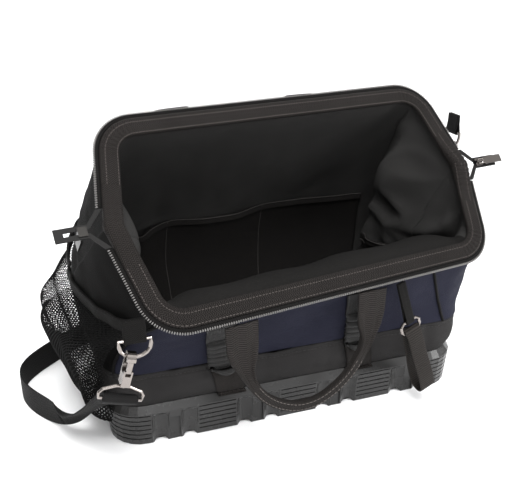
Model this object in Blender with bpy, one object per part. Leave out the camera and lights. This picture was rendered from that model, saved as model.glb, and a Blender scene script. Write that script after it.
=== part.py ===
"""Wide-mouth tool bag on a moulded base, standing open.

Metres, +Z up. The origin is on the floor under the middle of the base, +X runs along
the bag, and -Y is its front. The mouth is two hinged wire frames in webbing sleeves,
and it stands open, turned and leaned forward on the slack walls.
"""

import math

import bmesh
import bpy
from mathutils import Matrix, Vector

for old in list(bpy.data.objects):
    bpy.data.objects.remove(old)

# Overall sizes
BASE_LENGTH = 0.410
BASE_DEPTH = 0.220
BASE_HEIGHT = 0.046
CORNER_RADIUS = 0.038
GAP = 0.0003
OVERRUN = 0.004

# Moulded base
RIB_ZONE_TOP = 0.0385
SHOULDER_INSET = 0.0060
RIM_LEDGE = 0.0070
WALL_TAPER = 0.0030
BOTTOM_EDGE = 0.0012
TRAY_FLOOR = 0.0045
CAVITY_DRAFT = 0.0010
LONG_PITCH = BASE_LENGTH * 0.2244
SHORT_PITCH = BASE_DEPTH * 0.4182
RIB_PANEL_SHARE = 0.462
RIB_LAND = 0.0010
FLUTE_WIDTH_SHARE = 0.2011
FLUTE_DEPTH = 0.0045
STEP_WIDTH_SHARE = 0.1141
STEP_DEPTH = 0.0014
STEP_HEIGHT = 0.0300
FLUTE_SPACING_SHARE = 0.337
GROOVE_HEIGHT = 0.0018
GROOVE_DEPTH = 0.0024
GROOVE_PITCH = 0.0058
GROOVE_COUNT = 6
NOTCH_RADIUS = 0.0085
NOTCH_RISE = 0.0048
NOTCH_DEPTH = 0.0075
SKID_GROOVE_WIDTH = 0.0040
SKID_GROOVE_DEPTH = 0.0012
SKID_GROOVE_PITCH = 0.0230
SKID_GROOVE_COUNT = 6
SKID_MARGIN = 0.0400
BOARD_THICKNESS = 0.0030
BOARD_CLEARANCE = 0.0010

# Fabric walls
BAND_TOP = 0.0900
BAND_THICKNESS = 0.0035
BAND_BULGE = 0.0030
WALL_THICKNESS = 0.0025
WALL_BELLY = 0.0060
BACK_BELLY = 0.0120
END_BELLY = 0.0040
WALL_TUCK = 0.0085
SEAM_DROP = 0.0018

# Mouth frames
HINGE_X = 0.013
HINGE_Y = -0.086
HINGE_Z = 0.252
MOUTH_YAW = math.radians(9.2)
MOUTH_TILT = math.radians(48.0)
FRAME_REACH = 0.112
HINGE_OVERHANG = 0.012
MOUTH_NARROWING = 0.023
MOUTH_HALF_AT_HINGE = BASE_LENGTH / 2 + HINGE_OVERHANG
MOUTH_HALF_AT_CORNER = MOUTH_HALF_AT_HINGE - MOUTH_NARROWING
MOUTH_CORNER_RADIUS = 0.046
CHAIN_WIDTH = 0.0060
CHAIN_TAPE = 0.0014
COIL_SIZE = 0.0030
CHAIN_START = 0.0200
SLEEVE_WIDTH = 0.0185
SLEEVE_THICKNESS = 0.0060
SLEEVE_START = 0.0400
WIRE_RADIUS = 0.0020
WIRE_CLEARANCE = 0.0003
EYE_RADIUS = 0.0058
EYE_THICKNESS = 0.0016
EYE_SPREAD = 0.0050
RIVET_RADIUS = 0.0020
RIVET_HEAD_RADIUS = 0.0042
RIVET_HEAD_THICKNESS = 0.0012
RUNNING_CLEARANCE = 0.0001

# Webbing and handles
WEBBING_WIDTH = 0.0340
WEBBING_THICKNESS = 0.0020
STRIP_WIDTH = 0.0300
STRIP_SPACING = 0.1500
STRIP_LEAN = -0.0280
HANDLE_SPACING = 0.1460
HANDLE_SHIFT = -0.0380
HANDLE_DROP = 0.1120
HANDLE_REACH = 0.1130
HANDLE_STAND = 0.0029
HANDLE_SEAM = 0.0011
FRONT_HANDLE_LEAN = math.radians(1.0)
BACK_HANDLE_LEAN = math.radians(47.0)

# Metal fittings
RING_WIRE_RADIUS = 0.0018
RING_WIDTH = 0.0280
RING_DROP = 0.0170
RING_INSET = 0.0050
RING_ALONG = BASE_LENGTH / 2 - RING_INSET
RING_REACH = 0.0740
RING_OUT = 0.0130
BACK_RING_OUT = 0.0310
RING_LOWER = 0.0060
RING_TAB_WIDTH = 0.0200
RING_TAB_WALL = 0.0014
RING_TAB_RISE = 0.0200
RING_PLAY = 0.0009
HOOK_TILT = math.radians(17.0)
HOOK_THROAT = 0.0080
HOOK_WALL = 0.0026
HOOK_LIP = 0.0010
HOOK_OPENING = 0.0140
HOOK_SHANK_HEIGHT = 0.0120
HOOK_THICKNESS = 0.0080
GATE_THICKNESS = 0.0022
GATE_WIDTH = 0.0046
GATE_PIN_RADIUS = 0.0007
STEM_RADIUS = 0.0017
STEM_BORE_RADIUS = 0.0019
STEM_DEPTH = 0.0060
COLLAR_RADIUS = 0.0034
COLLAR_THICKNESS = 0.0014
EYE_BAR_LENGTH = 0.0400
EYE_DROP = 0.0130
EYE_WIRE_RADIUS = 0.0017
STRAP_WIDTH = 0.0320
STRAP_THICKNESS = 0.0022
STRAP_TAIL = 0.0240
STRAP_SPREAD = 0.1000
STRAP_BEHIND = 0.0355
STRAP_FALL_SHARES = ((-0.180, -1.073, 0.640), (-0.330, -0.727, 0.340))
STRAP_LEFT_SHARES = (
    (-0.45, -0.491), (-0.59, -0.318), (-0.74, -0.136), (-0.85, 0.055), (-0.91, 0.300),
    (-0.81, 0.509), (-0.59, 0.691), (-0.31, 0.891), (-0.01, 1.145),
)
STRAP_BACK_SHARES = ((-0.780, 0.93), (-0.439, 1.01), (0.0, 0.99), (0.439, 1.01), (0.780, 0.99))
STRAP_RISE_SHARES = ((0.110, 1.182, 0.260), (0.410, 0.873, 0.560))
STRAP_LAST_SHARES = (0.130, 0.509, 1.150)

# Zip ends
TAIL_STAND = 0.0070
TAIL_START = MOUTH_HALF_AT_HINGE + TAIL_STAND
TAIL_LENGTH = 0.0300
TAIL_WIDTH = 0.0130
TAIL_SLIT = 0.0036
TAIL_CLOSED = 0.0080
TAIL_THICKNESS = 0.0014
SLIDER_STAND = 0.0010
SLIDER_LENGTH = 0.0085
SLIDER_WIDTH = 0.0090
SLIDER_PLATE = 0.0012
SLIDER_LUG = 0.0030
LUG_BORE = 0.0009
PULL_WIRE = 0.0006
PULL_BOW = 0.0060
PULL_WIDTH = 0.0090
PULL_LENGTH = 0.0260
PULL_THICKNESS = 0.0018

# Tool loop
TOOL_ALONG = 0.0700
TOOL_TAB_LENGTH = 0.0500
TOOL_TAB_WIDTH = 0.0100
TOOL_RING_WIDTH = 0.0230
TOOL_RING_DROP = 0.0130
TOOL_LOOP_WIDTH = 0.0190
TOOL_LOOP_LENGTH = 0.0860
TOOL_LOOP_DEPTH = 0.0180
TOOL_LEAN = math.radians(-18.0)

# Pockets
POCKET_THICKNESS = 0.0020
POCKET_STAND = 0.0006
BINDING_THICKNESS = 0.0026
BINDING_HEIGHT = 0.0120
MESH_TOP = 0.1580
MESH_BACK_RISE = 0.0320
MESH_EDGE_STAND = 0.0030
MESH_STAND = 0.0440
MESH_FOOT_SHARE = 0.56
MESH_SAG_SHARE = 0.34
MESH_ROW_SHARES = ((0.70, 0.70), (1.08, 0.91), (1.44, 1.0))
MESH_MOUTH_SHARE = 0.30
BACK_POCKET_SHARE = 0.44
BACK_POCKET_BULGE = 0.0140
END_POCKET_SHARE = 0.32
END_POCKET_BULGE = 0.0100
POCKET_FOOT_SHARE = 0.04
SHELF_FOOT_SHARE = 0.10
SHELF_SHARE = 0.44
SHELF_DEPTH = 0.0140
LINER_REACH = 0.0520
LINER_FALL = 0.0360
LINER_RIGHT_SHARE = 0.48
LINER_THICKNESS = 0.0022
LINER_FOOT_SHARE = 0.66
LINER_STAND = 0.0032
LINER_SHARES = ((0.46, -1.00), (0.85, -0.72), (1.00, -0.42), (0.90, -0.17), (0.65, 0.03), (0.27, 0.10), (0.0, 0.0))

HALF_LENGTH = BASE_LENGTH / 2
HALF_DEPTH = BASE_DEPTH / 2
ARC_STEPS = 6


def finish(name, color, roughness, metallic=0.0):
    """Principled material with the piece's colour."""
    material = bpy.data.materials.new(name)
    material.use_nodes = True
    shader = material.node_tree.nodes["Principled BSDF"]
    shader.inputs["Base Color"].default_value = (*color, 1.0)
    shader.inputs["Roughness"].default_value = roughness
    shader.inputs["Metallic"].default_value = metallic
    return material


FINISHES = {
    "plastic": ((0.030, 0.030, 0.030), 0.35, 0.0),
    "black_cloth": ((0.018, 0.018, 0.019), 0.85, 0.0),
    "navy_cloth": ((0.028, 0.032, 0.060), 0.85, 0.0),
    "lining": ((0.016, 0.016, 0.017), 0.90, 0.0),
    "webbing": ((0.016, 0.014, 0.013), 0.80, 0.0),
    "mesh": ((0.012, 0.012, 0.012), 0.85, 0.0),
    "board": ((0.060, 0.055, 0.050), 0.80, 0.0),
    "chrome": ((0.62, 0.60, 0.58), 0.22, 1.0),
    "gunmetal": ((0.16, 0.14, 0.13), 0.35, 1.0),
    "steel": ((0.35, 0.35, 0.36), 0.40, 1.0),
    "chain": ((0.10, 0.10, 0.10), 0.45, 0.2),
}


def add_object(name, bm, kind, smooth=True):
    """Turns a bmesh into a named object with its own material."""
    bmesh.ops.recalc_face_normals(bm, faces=bm.faces)
    mesh = bpy.data.meshes.new(name)
    bm.to_mesh(mesh)
    bm.free()
    if smooth:
        mesh.shade_smooth()
        mesh.set_sharp_from_angle(angle=math.radians(35))
    mesh.materials.append(finish(name + "_finish", *FINISHES[kind]))
    obj = bpy.data.objects.new(name, mesh)
    bpy.context.collection.objects.link(obj)
    return obj


def add_loft(bm, loops, closed=False):
    """Skins closed loops of points; with closed, the last loop joins the first."""
    rings = [[bm.verts.new(p) for p in loop] for loop in loops]
    pairs = list(zip(rings, rings[1:]))
    if closed:
        pairs.append((rings[-1], rings[0]))
    for low, high in pairs:
        count = len(low)
        for i in range(count):
            j = (i + 1) % count
            bm.faces.new((low[i], low[j], high[j], high[i]))
    if not closed:
        bm.faces.new(rings[0][::-1])
        bm.faces.new(rings[-1])


def loft(name, loops, kind, closed=False, smooth=True):
    bm = bmesh.new()
    add_loft(bm, loops, closed)
    return add_object(name, bm, kind, smooth)


def subtract(obj, name, loft_list):
    """Cuts a group of separate lofted solids from an object."""
    bm = bmesh.new()
    for loops in loft_list:
        add_loft(bm, loops)
    cutter = add_object(name, bm, "steel", smooth=False)
    cutter.hide_render = True
    cutter.display_type = "WIRE"
    cut = obj.modifiers.new(name, "BOOLEAN")
    cut.operation = "DIFFERENCE"
    cut.solver = "EXACT"
    cut.object = cutter


def base_outline(inset, height, grow=0.0):
    """Rounded rectangle of the base, moved inwards, from the front side's left end."""
    half_x = HALF_LENGTH - inset + grow
    half_y = HALF_DEPTH - inset + grow
    radius = CORNER_RADIUS - inset + grow
    points = []
    for sign_x, sign_y, start in ((1, -1, -90), (1, 1, 0), (-1, 1, 90), (-1, -1, 180)):
        centre = Vector((sign_x * (half_x - radius), sign_y * (half_y - radius), height))
        for step in range(ARC_STEPS + 1):
            angle = math.radians(start + 90 * step / ARC_STEPS)
            points.append(centre + radius * Vector((math.cos(angle), math.sin(angle), 0)))
    return points


def wall_inset(height):
    """How far the tapered wall stands in from the widest outline at a height."""
    return WALL_TAPER * (1 - height / RIB_ZONE_TOP)


class Side:
    """One wall of the base: a place along it, out of it and up it, as a point."""

    def __init__(self, along, out, distance):
        self.along, self.out, self.distance = Vector(along), Vector(out), distance

    def point(self, along, depth, height):
        """A point depth behind the widest outline."""
        return self.along * along + self.out * (self.distance - depth) + Vector((0, 0, height))


LONG_SIDES = [Side((1, 0, 0), (0, -1, 0), HALF_DEPTH), Side((-1, 0, 0), (0, 1, 0), HALF_DEPTH)]
SHORT_SIDES = [Side((0, 1, 0), (1, 0, 0), HALF_LENGTH), Side((0, -1, 0), (-1, 0, 0), HALF_LENGTH)]
LONG_RIBS = (-1, 0, 1)
SHORT_RIBS = (0,)
FACES = ((LONG_SIDES, LONG_RIBS, LONG_PITCH), (SHORT_SIDES, SHORT_RIBS, SHORT_PITCH))


def pair_centres(ribs, pitch):
    """Places of the paired flutes between and beyond the rib panels."""
    return [(ribs[0] - 0.5 + k) * pitch for k in range(len(ribs) + 1)]


def flute_centres(ribs, pitch):
    half = pitch * FLUTE_SPACING_SHARE / 2
    return [centre + side * half for centre in pair_centres(ribs, pitch) for side in (-1, 1)]


def rib_half(pitch):
    """Half the grooved width of a rib panel, inside its lands."""
    return pitch * RIB_PANEL_SHARE / 2 - RIB_LAND


def groove_heights():
    return [RIB_ZONE_TOP - GROOVE_HEIGHT - k * GROOVE_PITCH for k in range(GROOVE_COUNT)]


def groove_section(height):
    """Trapezoid of a groove as pairs of depth and height, from outside to its floor."""
    inset = wall_inset(height)
    half = GROOVE_HEIGHT / 2
    floor_half = half * 0.55
    return [
        (inset - OVERRUN, height - half),
        (inset + GROOVE_DEPTH, height - floor_half),
        (inset + GROOVE_DEPTH, height + floor_half),
        (inset - OVERRUN, height + half),
    ]


def rib_panel_cuts():
    cuts = []
    for sides, ribs, pitch in FACES:
        for side in sides:
            for rib in ribs:
                ends = [rib * pitch + s * rib_half(pitch) for s in (-1, 1)]
                for height in groove_heights():
                    section = groove_section(height)
                    cuts.append([[side.point(end, d, h) for d, h in section] for end in ends])
    return cuts


def corner_rib_cuts():
    """Grooves that wrap each corner of the base."""
    long_end = (len(LONG_RIBS) + 1) / 2 * LONG_PITCH - rib_half(LONG_PITCH)
    short_end = (len(SHORT_RIBS) + 1) / 2 * SHORT_PITCH - rib_half(SHORT_PITCH)
    cuts = []
    for sign_x in (-1, 1):
        for sign_y in (-1, 1):
            centre = Vector((HALF_LENGTH - CORNER_RADIUS, HALF_DEPTH - CORNER_RADIUS, 0))
            stations = [(Vector((long_end, centre.y, 0)), math.pi / 2)]
            for step in range(ARC_STEPS + 1):
                stations.append((centre, math.pi / 2 * (1 - step / ARC_STEPS)))
            stations.append((Vector((centre.x, short_end, 0)), 0.0))
            for height in groove_heights():
                loops = []
                for place, angle in stations:
                    out = Vector((math.cos(angle), math.sin(angle), 0))
                    loop = []
                    for depth, level in groove_section(height):
                        p = place + out * (CORNER_RADIUS - depth)
                        loop.append(Vector((sign_x * p.x, sign_y * p.y, level)))
                    loops.append(loop)
                cuts.append(loops)
    return cuts


def flute_cuts():
    """Upright hollows of circular section that fade into the shoulder."""
    steps = 8
    cuts = []
    for sides, ribs, pitch in FACES:
        width = pitch * FLUTE_WIDTH_SHARE
        radius = (width**2 / 4 + FLUTE_DEPTH**2) / (2 * FLUTE_DEPTH)
        sweep_angle = math.asin(width / 2 / radius)
        for side in sides:
            for centre in flute_centres(ribs, pitch):
                loops = []
                levels = ((-OVERRUN, 1.0), (RIB_ZONE_TOP * 0.86, 1.0), (RIB_ZONE_TOP * 0.98, 0.25))
                for height, depth_share in levels:
                    loop = []
                    for step in range(steps + 1):
                        angle = sweep_angle * 1.1 * (2 * step / steps - 1)
                        depth = radius * (math.cos(angle) - math.cos(sweep_angle)) * depth_share
                        inset = wall_inset(max(height, 0.0))
                        loop.append(side.point(centre + radius * math.sin(angle), inset + depth, height))
                    loop.append(side.point(centre + width / 2 * 1.2, -OVERRUN, height))
                    loop.append(side.point(centre - width / 2 * 1.2, -OVERRUN, height))
                    loops.append(loop)
                cuts.append(loops)
    return cuts


def notch_cuts():
    """Half-round mouths under the flutes, at the bottom edge."""
    steps = 12
    cuts = []
    for sides, ribs, pitch in FACES:
        for side in sides:
            for centre in flute_centres(ribs, pitch):
                loops = []
                for depth in (-OVERRUN, WALL_TAPER + NOTCH_DEPTH):
                    loop = []
                    for step in range(steps):
                        angle = 2 * math.pi * step / steps
                        rise = NOTCH_RISE - NOTCH_RADIUS + NOTCH_RADIUS * math.sin(angle)
                        loop.append(side.point(centre + NOTCH_RADIUS * math.cos(angle), depth, rise))
                    loops.append(loop)
                cuts.append(loops)
    return cuts


def box_loops(side, low, high):
    """Box between two corners given as along, depth and height."""
    loops = []
    for along in (low[0], high[0]):
        corners = ((low[1], low[2]), (high[1], low[2]), (high[1], high[2]), (low[1], high[2]))
        loops.append([side.point(along, depth, height) for depth, height in corners])
    return loops


def step_cuts():
    """Shallow flats between each pair of flutes."""
    cuts = []
    for sides, ribs, pitch in FACES:
        half = pitch * STEP_WIDTH_SHARE / 2
        for side in sides:
            for centre in pair_centres(ribs, pitch):
                low = (centre - half, -OVERRUN, -OVERRUN)
                high = (centre + half, WALL_TAPER + STEP_DEPTH, STEP_HEIGHT)
                cuts.append(box_loops(side, low, high))
    return cuts


def skid_cuts():
    """Long grooves in the underside, which leave it standing on runners."""
    side = LONG_SIDES[0]
    cuts = []
    for k in range(SKID_GROOVE_COUNT):
        centre = HALF_DEPTH + (k - (SKID_GROOVE_COUNT - 1) / 2) * SKID_GROOVE_PITCH
        low = (-HALF_LENGTH + SKID_MARGIN, centre - SKID_GROOVE_WIDTH / 2, -OVERRUN)
        high = (HALF_LENGTH - SKID_MARGIN, centre + SKID_GROOVE_WIDTH / 2, SKID_GROOVE_DEPTH)
        cuts.append(box_loops(side, low, high))
    return cuts


def make_base_tray():
    rim_inset = SHOULDER_INSET + RIM_LEDGE
    loops = [
        base_outline(WALL_TAPER + BOTTOM_EDGE, 0.0),
        base_outline(wall_inset(BOTTOM_EDGE), BOTTOM_EDGE),
        base_outline(0.0, RIB_ZONE_TOP),
        base_outline(SHOULDER_INSET, BASE_HEIGHT),
        base_outline(rim_inset, BASE_HEIGHT),
        base_outline(rim_inset + CAVITY_DRAFT, TRAY_FLOOR),
    ]
    tray = loft("base_tray", loops, "plastic")
    subtract(tray, "rib_cutter", rib_panel_cuts() + corner_rib_cuts())
    subtract(tray, "flute_cutter", flute_cuts())
    subtract(tray, "step_cutter", step_cuts())
    subtract(tray, "notch_cutter", notch_cuts() + skid_cuts())
    return tray


def make_base_board():
    inset = SHOULDER_INSET + RIM_LEDGE + CAVITY_DRAFT + BOARD_CLEARANCE
    low = TRAY_FLOOR + GAP
    return loft("base_board", [base_outline(inset, low), base_outline(inset, low + BOARD_THICKNESS)], "board")


def band_outset(height):
    """How far the fabric stands outside the base's outline at a height of the band."""
    share = (height - BASE_HEIGHT) / (BAND_TOP - BASE_HEIGHT)
    return -(SHOULDER_INSET + GAP) + (SHOULDER_INSET + BAND_BULGE) * math.sin(min(1.0, share * 1.6) * math.pi / 2)


def make_lower_band():
    levels = 5
    low, high = BASE_HEIGHT + GAP, BAND_TOP
    heights = [low + (high - low) * k / (levels - 1) for k in range(levels)]
    outer = [base_outline(0.0, z, band_outset(z)) for z in heights]
    inner = [base_outline(0.0, z, band_outset(z) - BAND_THICKNESS) for z in reversed(heights)]
    return loft("lower_band", outer + inner, "black_cloth", closed=True)


MOUTH = Matrix.Translation((HINGE_X, HINGE_Y, HINGE_Z)) @ Matrix.Rotation(MOUTH_YAW, 4, "Z")
FRONT, BACK = -1, 1


def mouth_point(side, along, reach, rise=0.0):
    """A point on a frame's half of the mouth: along the hinge, away from it, and above."""
    away = Vector((0, side * math.cos(MOUTH_TILT), side * math.sin(MOUTH_TILT)))
    above = Vector((0, -math.sin(MOUTH_TILT), math.cos(MOUTH_TILT)))
    return MOUTH @ (Vector((along, 0, 0)) + away * reach + above * rise)


def mouth_normal():
    above = Vector((0, -math.sin(MOUTH_TILT), math.cos(MOUTH_TILT)))
    return (MOUTH.to_3x3() @ above).normalized()


def fillet(points, radius, steps):
    """Open path in a plane with each inner corner rounded."""
    path = [points[0]]
    for before, corner, after in zip(points, points[1:], points[2:]):
        a = (before - corner).normalized()
        b = (after - corner).normalized()
        half_angle = a.angle(b) / 2
        start = corner + a * (radius / math.tan(half_angle))
        end = corner + b * (radius / math.tan(half_angle))
        centre = corner + (a + b).normalized() * (radius / math.sin(half_angle))
        first, last = start - centre, end - centre
        turn = first.angle(last)
        for step in range(steps + 1):
            t = step / steps
            direction = first * math.sin((1 - t) * turn) + last * math.sin(t * turn)
            path.append(centre + direction / math.sin(turn))
    path.append(points[-1])
    return path


def arm_at(reach, inset):
    """Half the mouth's width at a reach from the hinge, moved in from the coil line."""
    slope = (MOUTH_HALF_AT_HINGE - MOUTH_HALF_AT_CORNER) / FRAME_REACH
    return MOUTH_HALF_AT_HINGE - slope * reach - inset * math.sqrt(1 + slope**2)


def frame_outline(inset, start, corner_steps=5):
    """Path of a frame from one hinge to the other, as points of along and reach."""
    reach = FRAME_REACH - inset
    corner = arm_at(reach, inset)
    points = [
        Vector((-arm_at(start, inset), start, 0)),
        Vector((-corner, reach, 0)),
        Vector((corner, reach, 0)),
        Vector((arm_at(start, inset), start, 0)),
    ]
    return fillet(points, MOUTH_CORNER_RADIUS - inset, corner_steps)


def path_tangents(path):
    tangents = []
    for i in range(len(path)):
        before = path[max(0, i - 1)]
        after = path[min(len(path) - 1, i + 1)]
        tangents.append((after - before).normalized())
    return tangents


def sweep_loops(path, ups, section):
    """Loops of a section along a path; section gives pairs of across and up for a station."""
    loops = []
    for i, (place, tangent, up) in enumerate(zip(path, path_tangents(path), ups)):
        across = tangent.cross(up).normalized()
        true_up = across.cross(tangent).normalized()
        loops.append([place + across * a + true_up * b for a, b in section(i)])
    return loops


def flat_section(width, thickness):
    half_w, half_t = width / 2, thickness / 2
    return [(-half_w, -half_t), (half_w, -half_t), (half_w, half_t), (-half_w, half_t)]


def round_section(radius_a, radius_b, sides):
    step = 2 * math.pi / sides
    return [(radius_a * math.cos(k * step), radius_b * math.sin(k * step)) for k in range(sides)]


def add_tube_shell(bm, outer, inner):
    """A swept wall open at both ends: outer and inner loops joined by flat rings."""
    add_loft(bm, outer + inner[::-1], closed=True)


def mouth_path(side, inset, start, rise=0.0, corner_steps=6):
    return [mouth_point(side, p.x, p.y, rise) for p in frame_outline(inset, start, corner_steps)]


SLEEVE_CENTRE = CHAIN_WIDTH + GAP + SLEEVE_WIDTH / 2
EYE_ALONG = arm_at(0.0, SLEEVE_CENTRE)


def make_frame_wire(name, side):
    """Bent wire whose ends are hammered flat and punched for the hinge rivets."""
    spread = EYE_SPREAD / 2 * side
    flat = frame_outline(SLEEVE_CENTRE, SLEEVE_START * 0.75)
    ends = EYE_ALONG + spread
    head = [(-ends, -EYE_RADIUS), (-ends, 0.0), (-ends, EYE_RADIUS), (-ends, EYE_RADIUS * 2)]
    places = [Vector((x, r, 0)) for x, r in head] + flat
    places += [Vector((-x, r, 0)) for x, r in reversed(head)]
    path = [mouth_point(side, p.x, p.y) for p in places]
    normal = mouth_normal()
    last = len(path) - 1
    flatness = {0: 0.55, 1: 1.0, 2: 0.80, 3: 0.25}

    def section(i):
        share = flatness.get(min(i, last - i), 0.0)
        across = WIRE_RADIUS + (EYE_THICKNESS / 2 - WIRE_RADIUS) * share
        if min(i, last - i) == 0:
            across = EYE_THICKNESS / 2
        up = WIRE_RADIUS + (EYE_RADIUS - WIRE_RADIUS) * share
        return round_section(across, up, 10)

    wire = loft(name, sweep_loops(path, [normal] * len(path), section), "steel")
    holes = []
    axis = (MOUTH.to_3x3() @ Vector((1, 0, 0))).normalized()
    for sign in (-1, 1):
        centre = mouth_point(side, sign * ends, 0.0)
        holes.append(disc_loops(centre, axis, RIVET_RADIUS + RUNNING_CLEARANCE, -OVERRUN, OVERRUN, 14))
    subtract(wire, name + "_holes", holes)
    return wire


def disc_loops(centre, axis, radius, low, high, sides):
    """Loops of a round bar along an axis between two distances from its centre."""
    first = axis.orthogonal().normalized()
    second = axis.cross(first)
    loops = []
    for distance in (low, high):
        loop = []
        for k in range(sides):
            angle = 2 * math.pi * k / sides
            loop.append(centre + axis * distance + radius * (first * math.cos(angle) + second * math.sin(angle)))
        loops.append(loop)
    return loops


def turned_loops(centre, axis, profile, sides):
    """Loops of a turned solid; profile gives pairs of distance along the axis and radius."""
    return [disc_loops(centre, axis, radius, place, place, sides)[0] for place, radius in profile]


def make_hinge_rivet(name, sign):
    axis = (MOUTH.to_3x3() @ Vector((1, 0, 0))).normalized()
    centre = mouth_point(BACK, sign * EYE_ALONG, 0.0)
    grip = EYE_SPREAD / 2 + EYE_THICKNESS / 2 + GAP
    head = grip + RIVET_HEAD_THICKNESS
    profile = [
        (-head, RIVET_HEAD_RADIUS * 0.7),
        (-grip - RIVET_HEAD_THICKNESS / 2, RIVET_HEAD_RADIUS),
        (-grip, RIVET_HEAD_RADIUS),
        (-grip, RIVET_RADIUS),
        (grip, RIVET_RADIUS),
        (grip, RIVET_HEAD_RADIUS),
        (grip + RIVET_HEAD_THICKNESS / 2, RIVET_HEAD_RADIUS),
        (head, RIVET_HEAD_RADIUS * 0.7),
    ]
    return loft(name, turned_loops(centre, axis, profile, 14), "steel")


def make_sleeve(name, side):
    """Folded webbing that wraps the wire, open at both ends."""
    path = mouth_path(side, SLEEVE_CENTRE, SLEEVE_START, corner_steps=6)
    ups = [mouth_normal()] * len(path)
    half_w, half_t = SLEEVE_WIDTH / 2, SLEEVE_THICKNESS / 2
    bore = WIRE_RADIUS + WIRE_CLEARANCE
    outer = sweep_loops(path, ups, lambda i: squashed_ring(half_w, half_t, 12))
    inner = sweep_loops(path, ups, lambda i: round_section(bore * 1.3, bore, 12))
    bm = bmesh.new()
    add_tube_shell(bm, outer, inner)
    return add_object(name, bm, "webbing")


def squashed_ring(half_w, half_t, sides):
    """Flat oval with thin edges and a level middle."""
    points = []
    for k in range(sides):
        angle = 2 * math.pi * k / sides
        c, s = math.cos(angle), math.sin(angle)
        points.append((half_w * math.copysign(abs(c) ** 0.8, c), half_t * math.copysign(abs(s) ** 0.6, s)))
    return points


def make_zip_chain(name, side):
    """Zip tape with its coil along the outer edge."""
    inset = CHAIN_WIDTH / 2
    path = mouth_path(side, inset, CHAIN_START)
    ups = [mouth_normal()] * len(path)
    outer, half_t, coil = CHAIN_WIDTH / 2, CHAIN_TAPE / 2, COIL_SIZE / 2
    sign = side

    def section(i):
        return [
            (-sign * outer, -half_t),
            (sign * (outer - COIL_SIZE), -half_t),
            (sign * (outer - COIL_SIZE), -coil),
            (sign * outer, -coil),
            (sign * outer, coil),
            (sign * (outer - COIL_SIZE), coil),
            (sign * (outer - COIL_SIZE), half_t),
            (-sign * outer, half_t),
        ]

    return loft(name, sweep_loops(path, ups, section), "chain")


def thick_sheet(name, rows, thickness, kind, end_normals=None):
    """A sheet of even thickness from rows of points, its given face outside."""
    bm = bmesh.new()
    outer = [[bm.verts.new(p) for p in row] for row in rows]
    quads = []
    for low, high in zip(outer, outer[1:]):
        for i in range(len(low) - 1):
            quads.append(bm.faces.new((low[i], low[i + 1], high[i + 1], high[i])))
    bm.normal_update()
    inner = []
    for row in outer:
        normals = [v.normal.copy() for v in row]
        if end_normals:
            normals[0], normals[-1] = end_normals
        inner.append([bm.verts.new(v.co - n * thickness) for v, n in zip(row, normals)])
    for low, high in zip(inner, inner[1:]):
        for i in range(len(low) - 1):
            bm.faces.new((low[i], high[i], high[i + 1], low[i + 1]))
    rim = []
    rim += [(r, 0) for r in range(len(rows))]
    rim += [(len(rows) - 1, c) for c in range(1, len(rows[0]))]
    rim += [(r, len(rows[0]) - 1) for r in range(len(rows) - 2, -1, -1)]
    rim += [(0, c) for c in range(len(rows[0]) - 2, 0, -1)]
    for here, there in zip(rim, rim[1:] + rim[:1]):
        a, b = outer[here[0]][here[1]], outer[there[0]][there[1]]
        c, d = inner[there[0]][there[1]], inner[here[0]][here[1]]
        bm.faces.new((a, b, c, d))
    return add_object(name, bm, kind)


def spaced(path, count):
    """Even points along a polyline."""
    lengths = [0.0]
    for a, b in zip(path, path[1:]):
        lengths.append(lengths[-1] + (b - a).length)
    result = []
    for k in range(count):
        target = lengths[-1] * k / (count - 1)
        i = 0
        while i < len(path) - 2 and lengths[i + 1] < target:
            i += 1
        span = lengths[i + 1] - lengths[i]
        result.append(path[i].lerp(path[i + 1], (target - lengths[i]) / span))
    return result


def low_outline():
    """The walls' lower edge, over the band, as corner arcs in base_outline's order."""
    return base_outline(0.0, BAND_TOP + GAP, BAND_BULGE)


def high_outline(side):
    """The walls' upper edge under a frame's sleeve, from the left hinge to the right."""
    rise = -(SLEEVE_THICKNESS / 2 + SEAM_DROP)
    half = frame_outline(WALL_TUCK, 0.0, ARC_STEPS)
    return [mouth_point(side, p.x, p.y, rise) for p in half]


def wall_rows(low, high, belly, out, levels):
    """Rows of a slack wall from its lower edge to its upper one, bellied outwards."""
    rows = []
    for k in range(levels):
        t = k / (levels - 1)
        row = []
        for i, (a, b) in enumerate(zip(low, high)):
            stand = a + Vector((0, 0, (b.z - a.z) * 0.35))
            p = a * (1 - t) ** 2 + stand * (2 * t * (1 - t)) + b * t**2
            swell = min(1.0, 1.6 * math.sin(math.pi * i / (len(low) - 1)))
            row.append(p + out * (belly * swell * math.sin(math.pi * t)))
        rows.append(row)
    return rows


def trimmed(path):
    """A path with its two ends drawn in by half the gap between neighbours."""
    path = list(path)
    path[0] = path[0].lerp(path[1], GAP / (path[1] - path[0]).length)
    path[-1] = path[-1].lerp(path[-2], GAP / (path[-2] - path[-1]).length)
    return path


def split_low():
    """Lower edges of the front, right, back and left walls, split in the corners' middles."""
    points = low_outline()
    half = ARC_STEPS // 2
    arc = ARC_STEPS + 1
    corners = [points[k * arc:(k + 1) * arc] for k in range(4)]
    front_right, back_right, back_left, front_left = corners
    front = front_left[half:] + front_right[:half + 1]
    right = front_right[half:] + back_right[:half + 1]
    back = back_right[half:] + back_left[:half + 1]
    left = back_left[half:] + front_left[:half + 1]
    return front, right, back, left


def split_high():
    half = ARC_STEPS // 2
    front, back = high_outline(FRONT), high_outline(BACK)
    left_cut, right_cut = 1 + half, len(front) - 2 - half
    front_edge = front[left_cut:right_cut + 1]
    back_edge = back[left_cut:right_cut + 1][::-1]
    right_edge = front[right_cut:] + back[right_cut:-1][::-1]
    left_edge = back[:left_cut + 1][::-1] + front[1:left_cut + 1]
    return front_edge, right_edge, back_edge, left_edge


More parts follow.
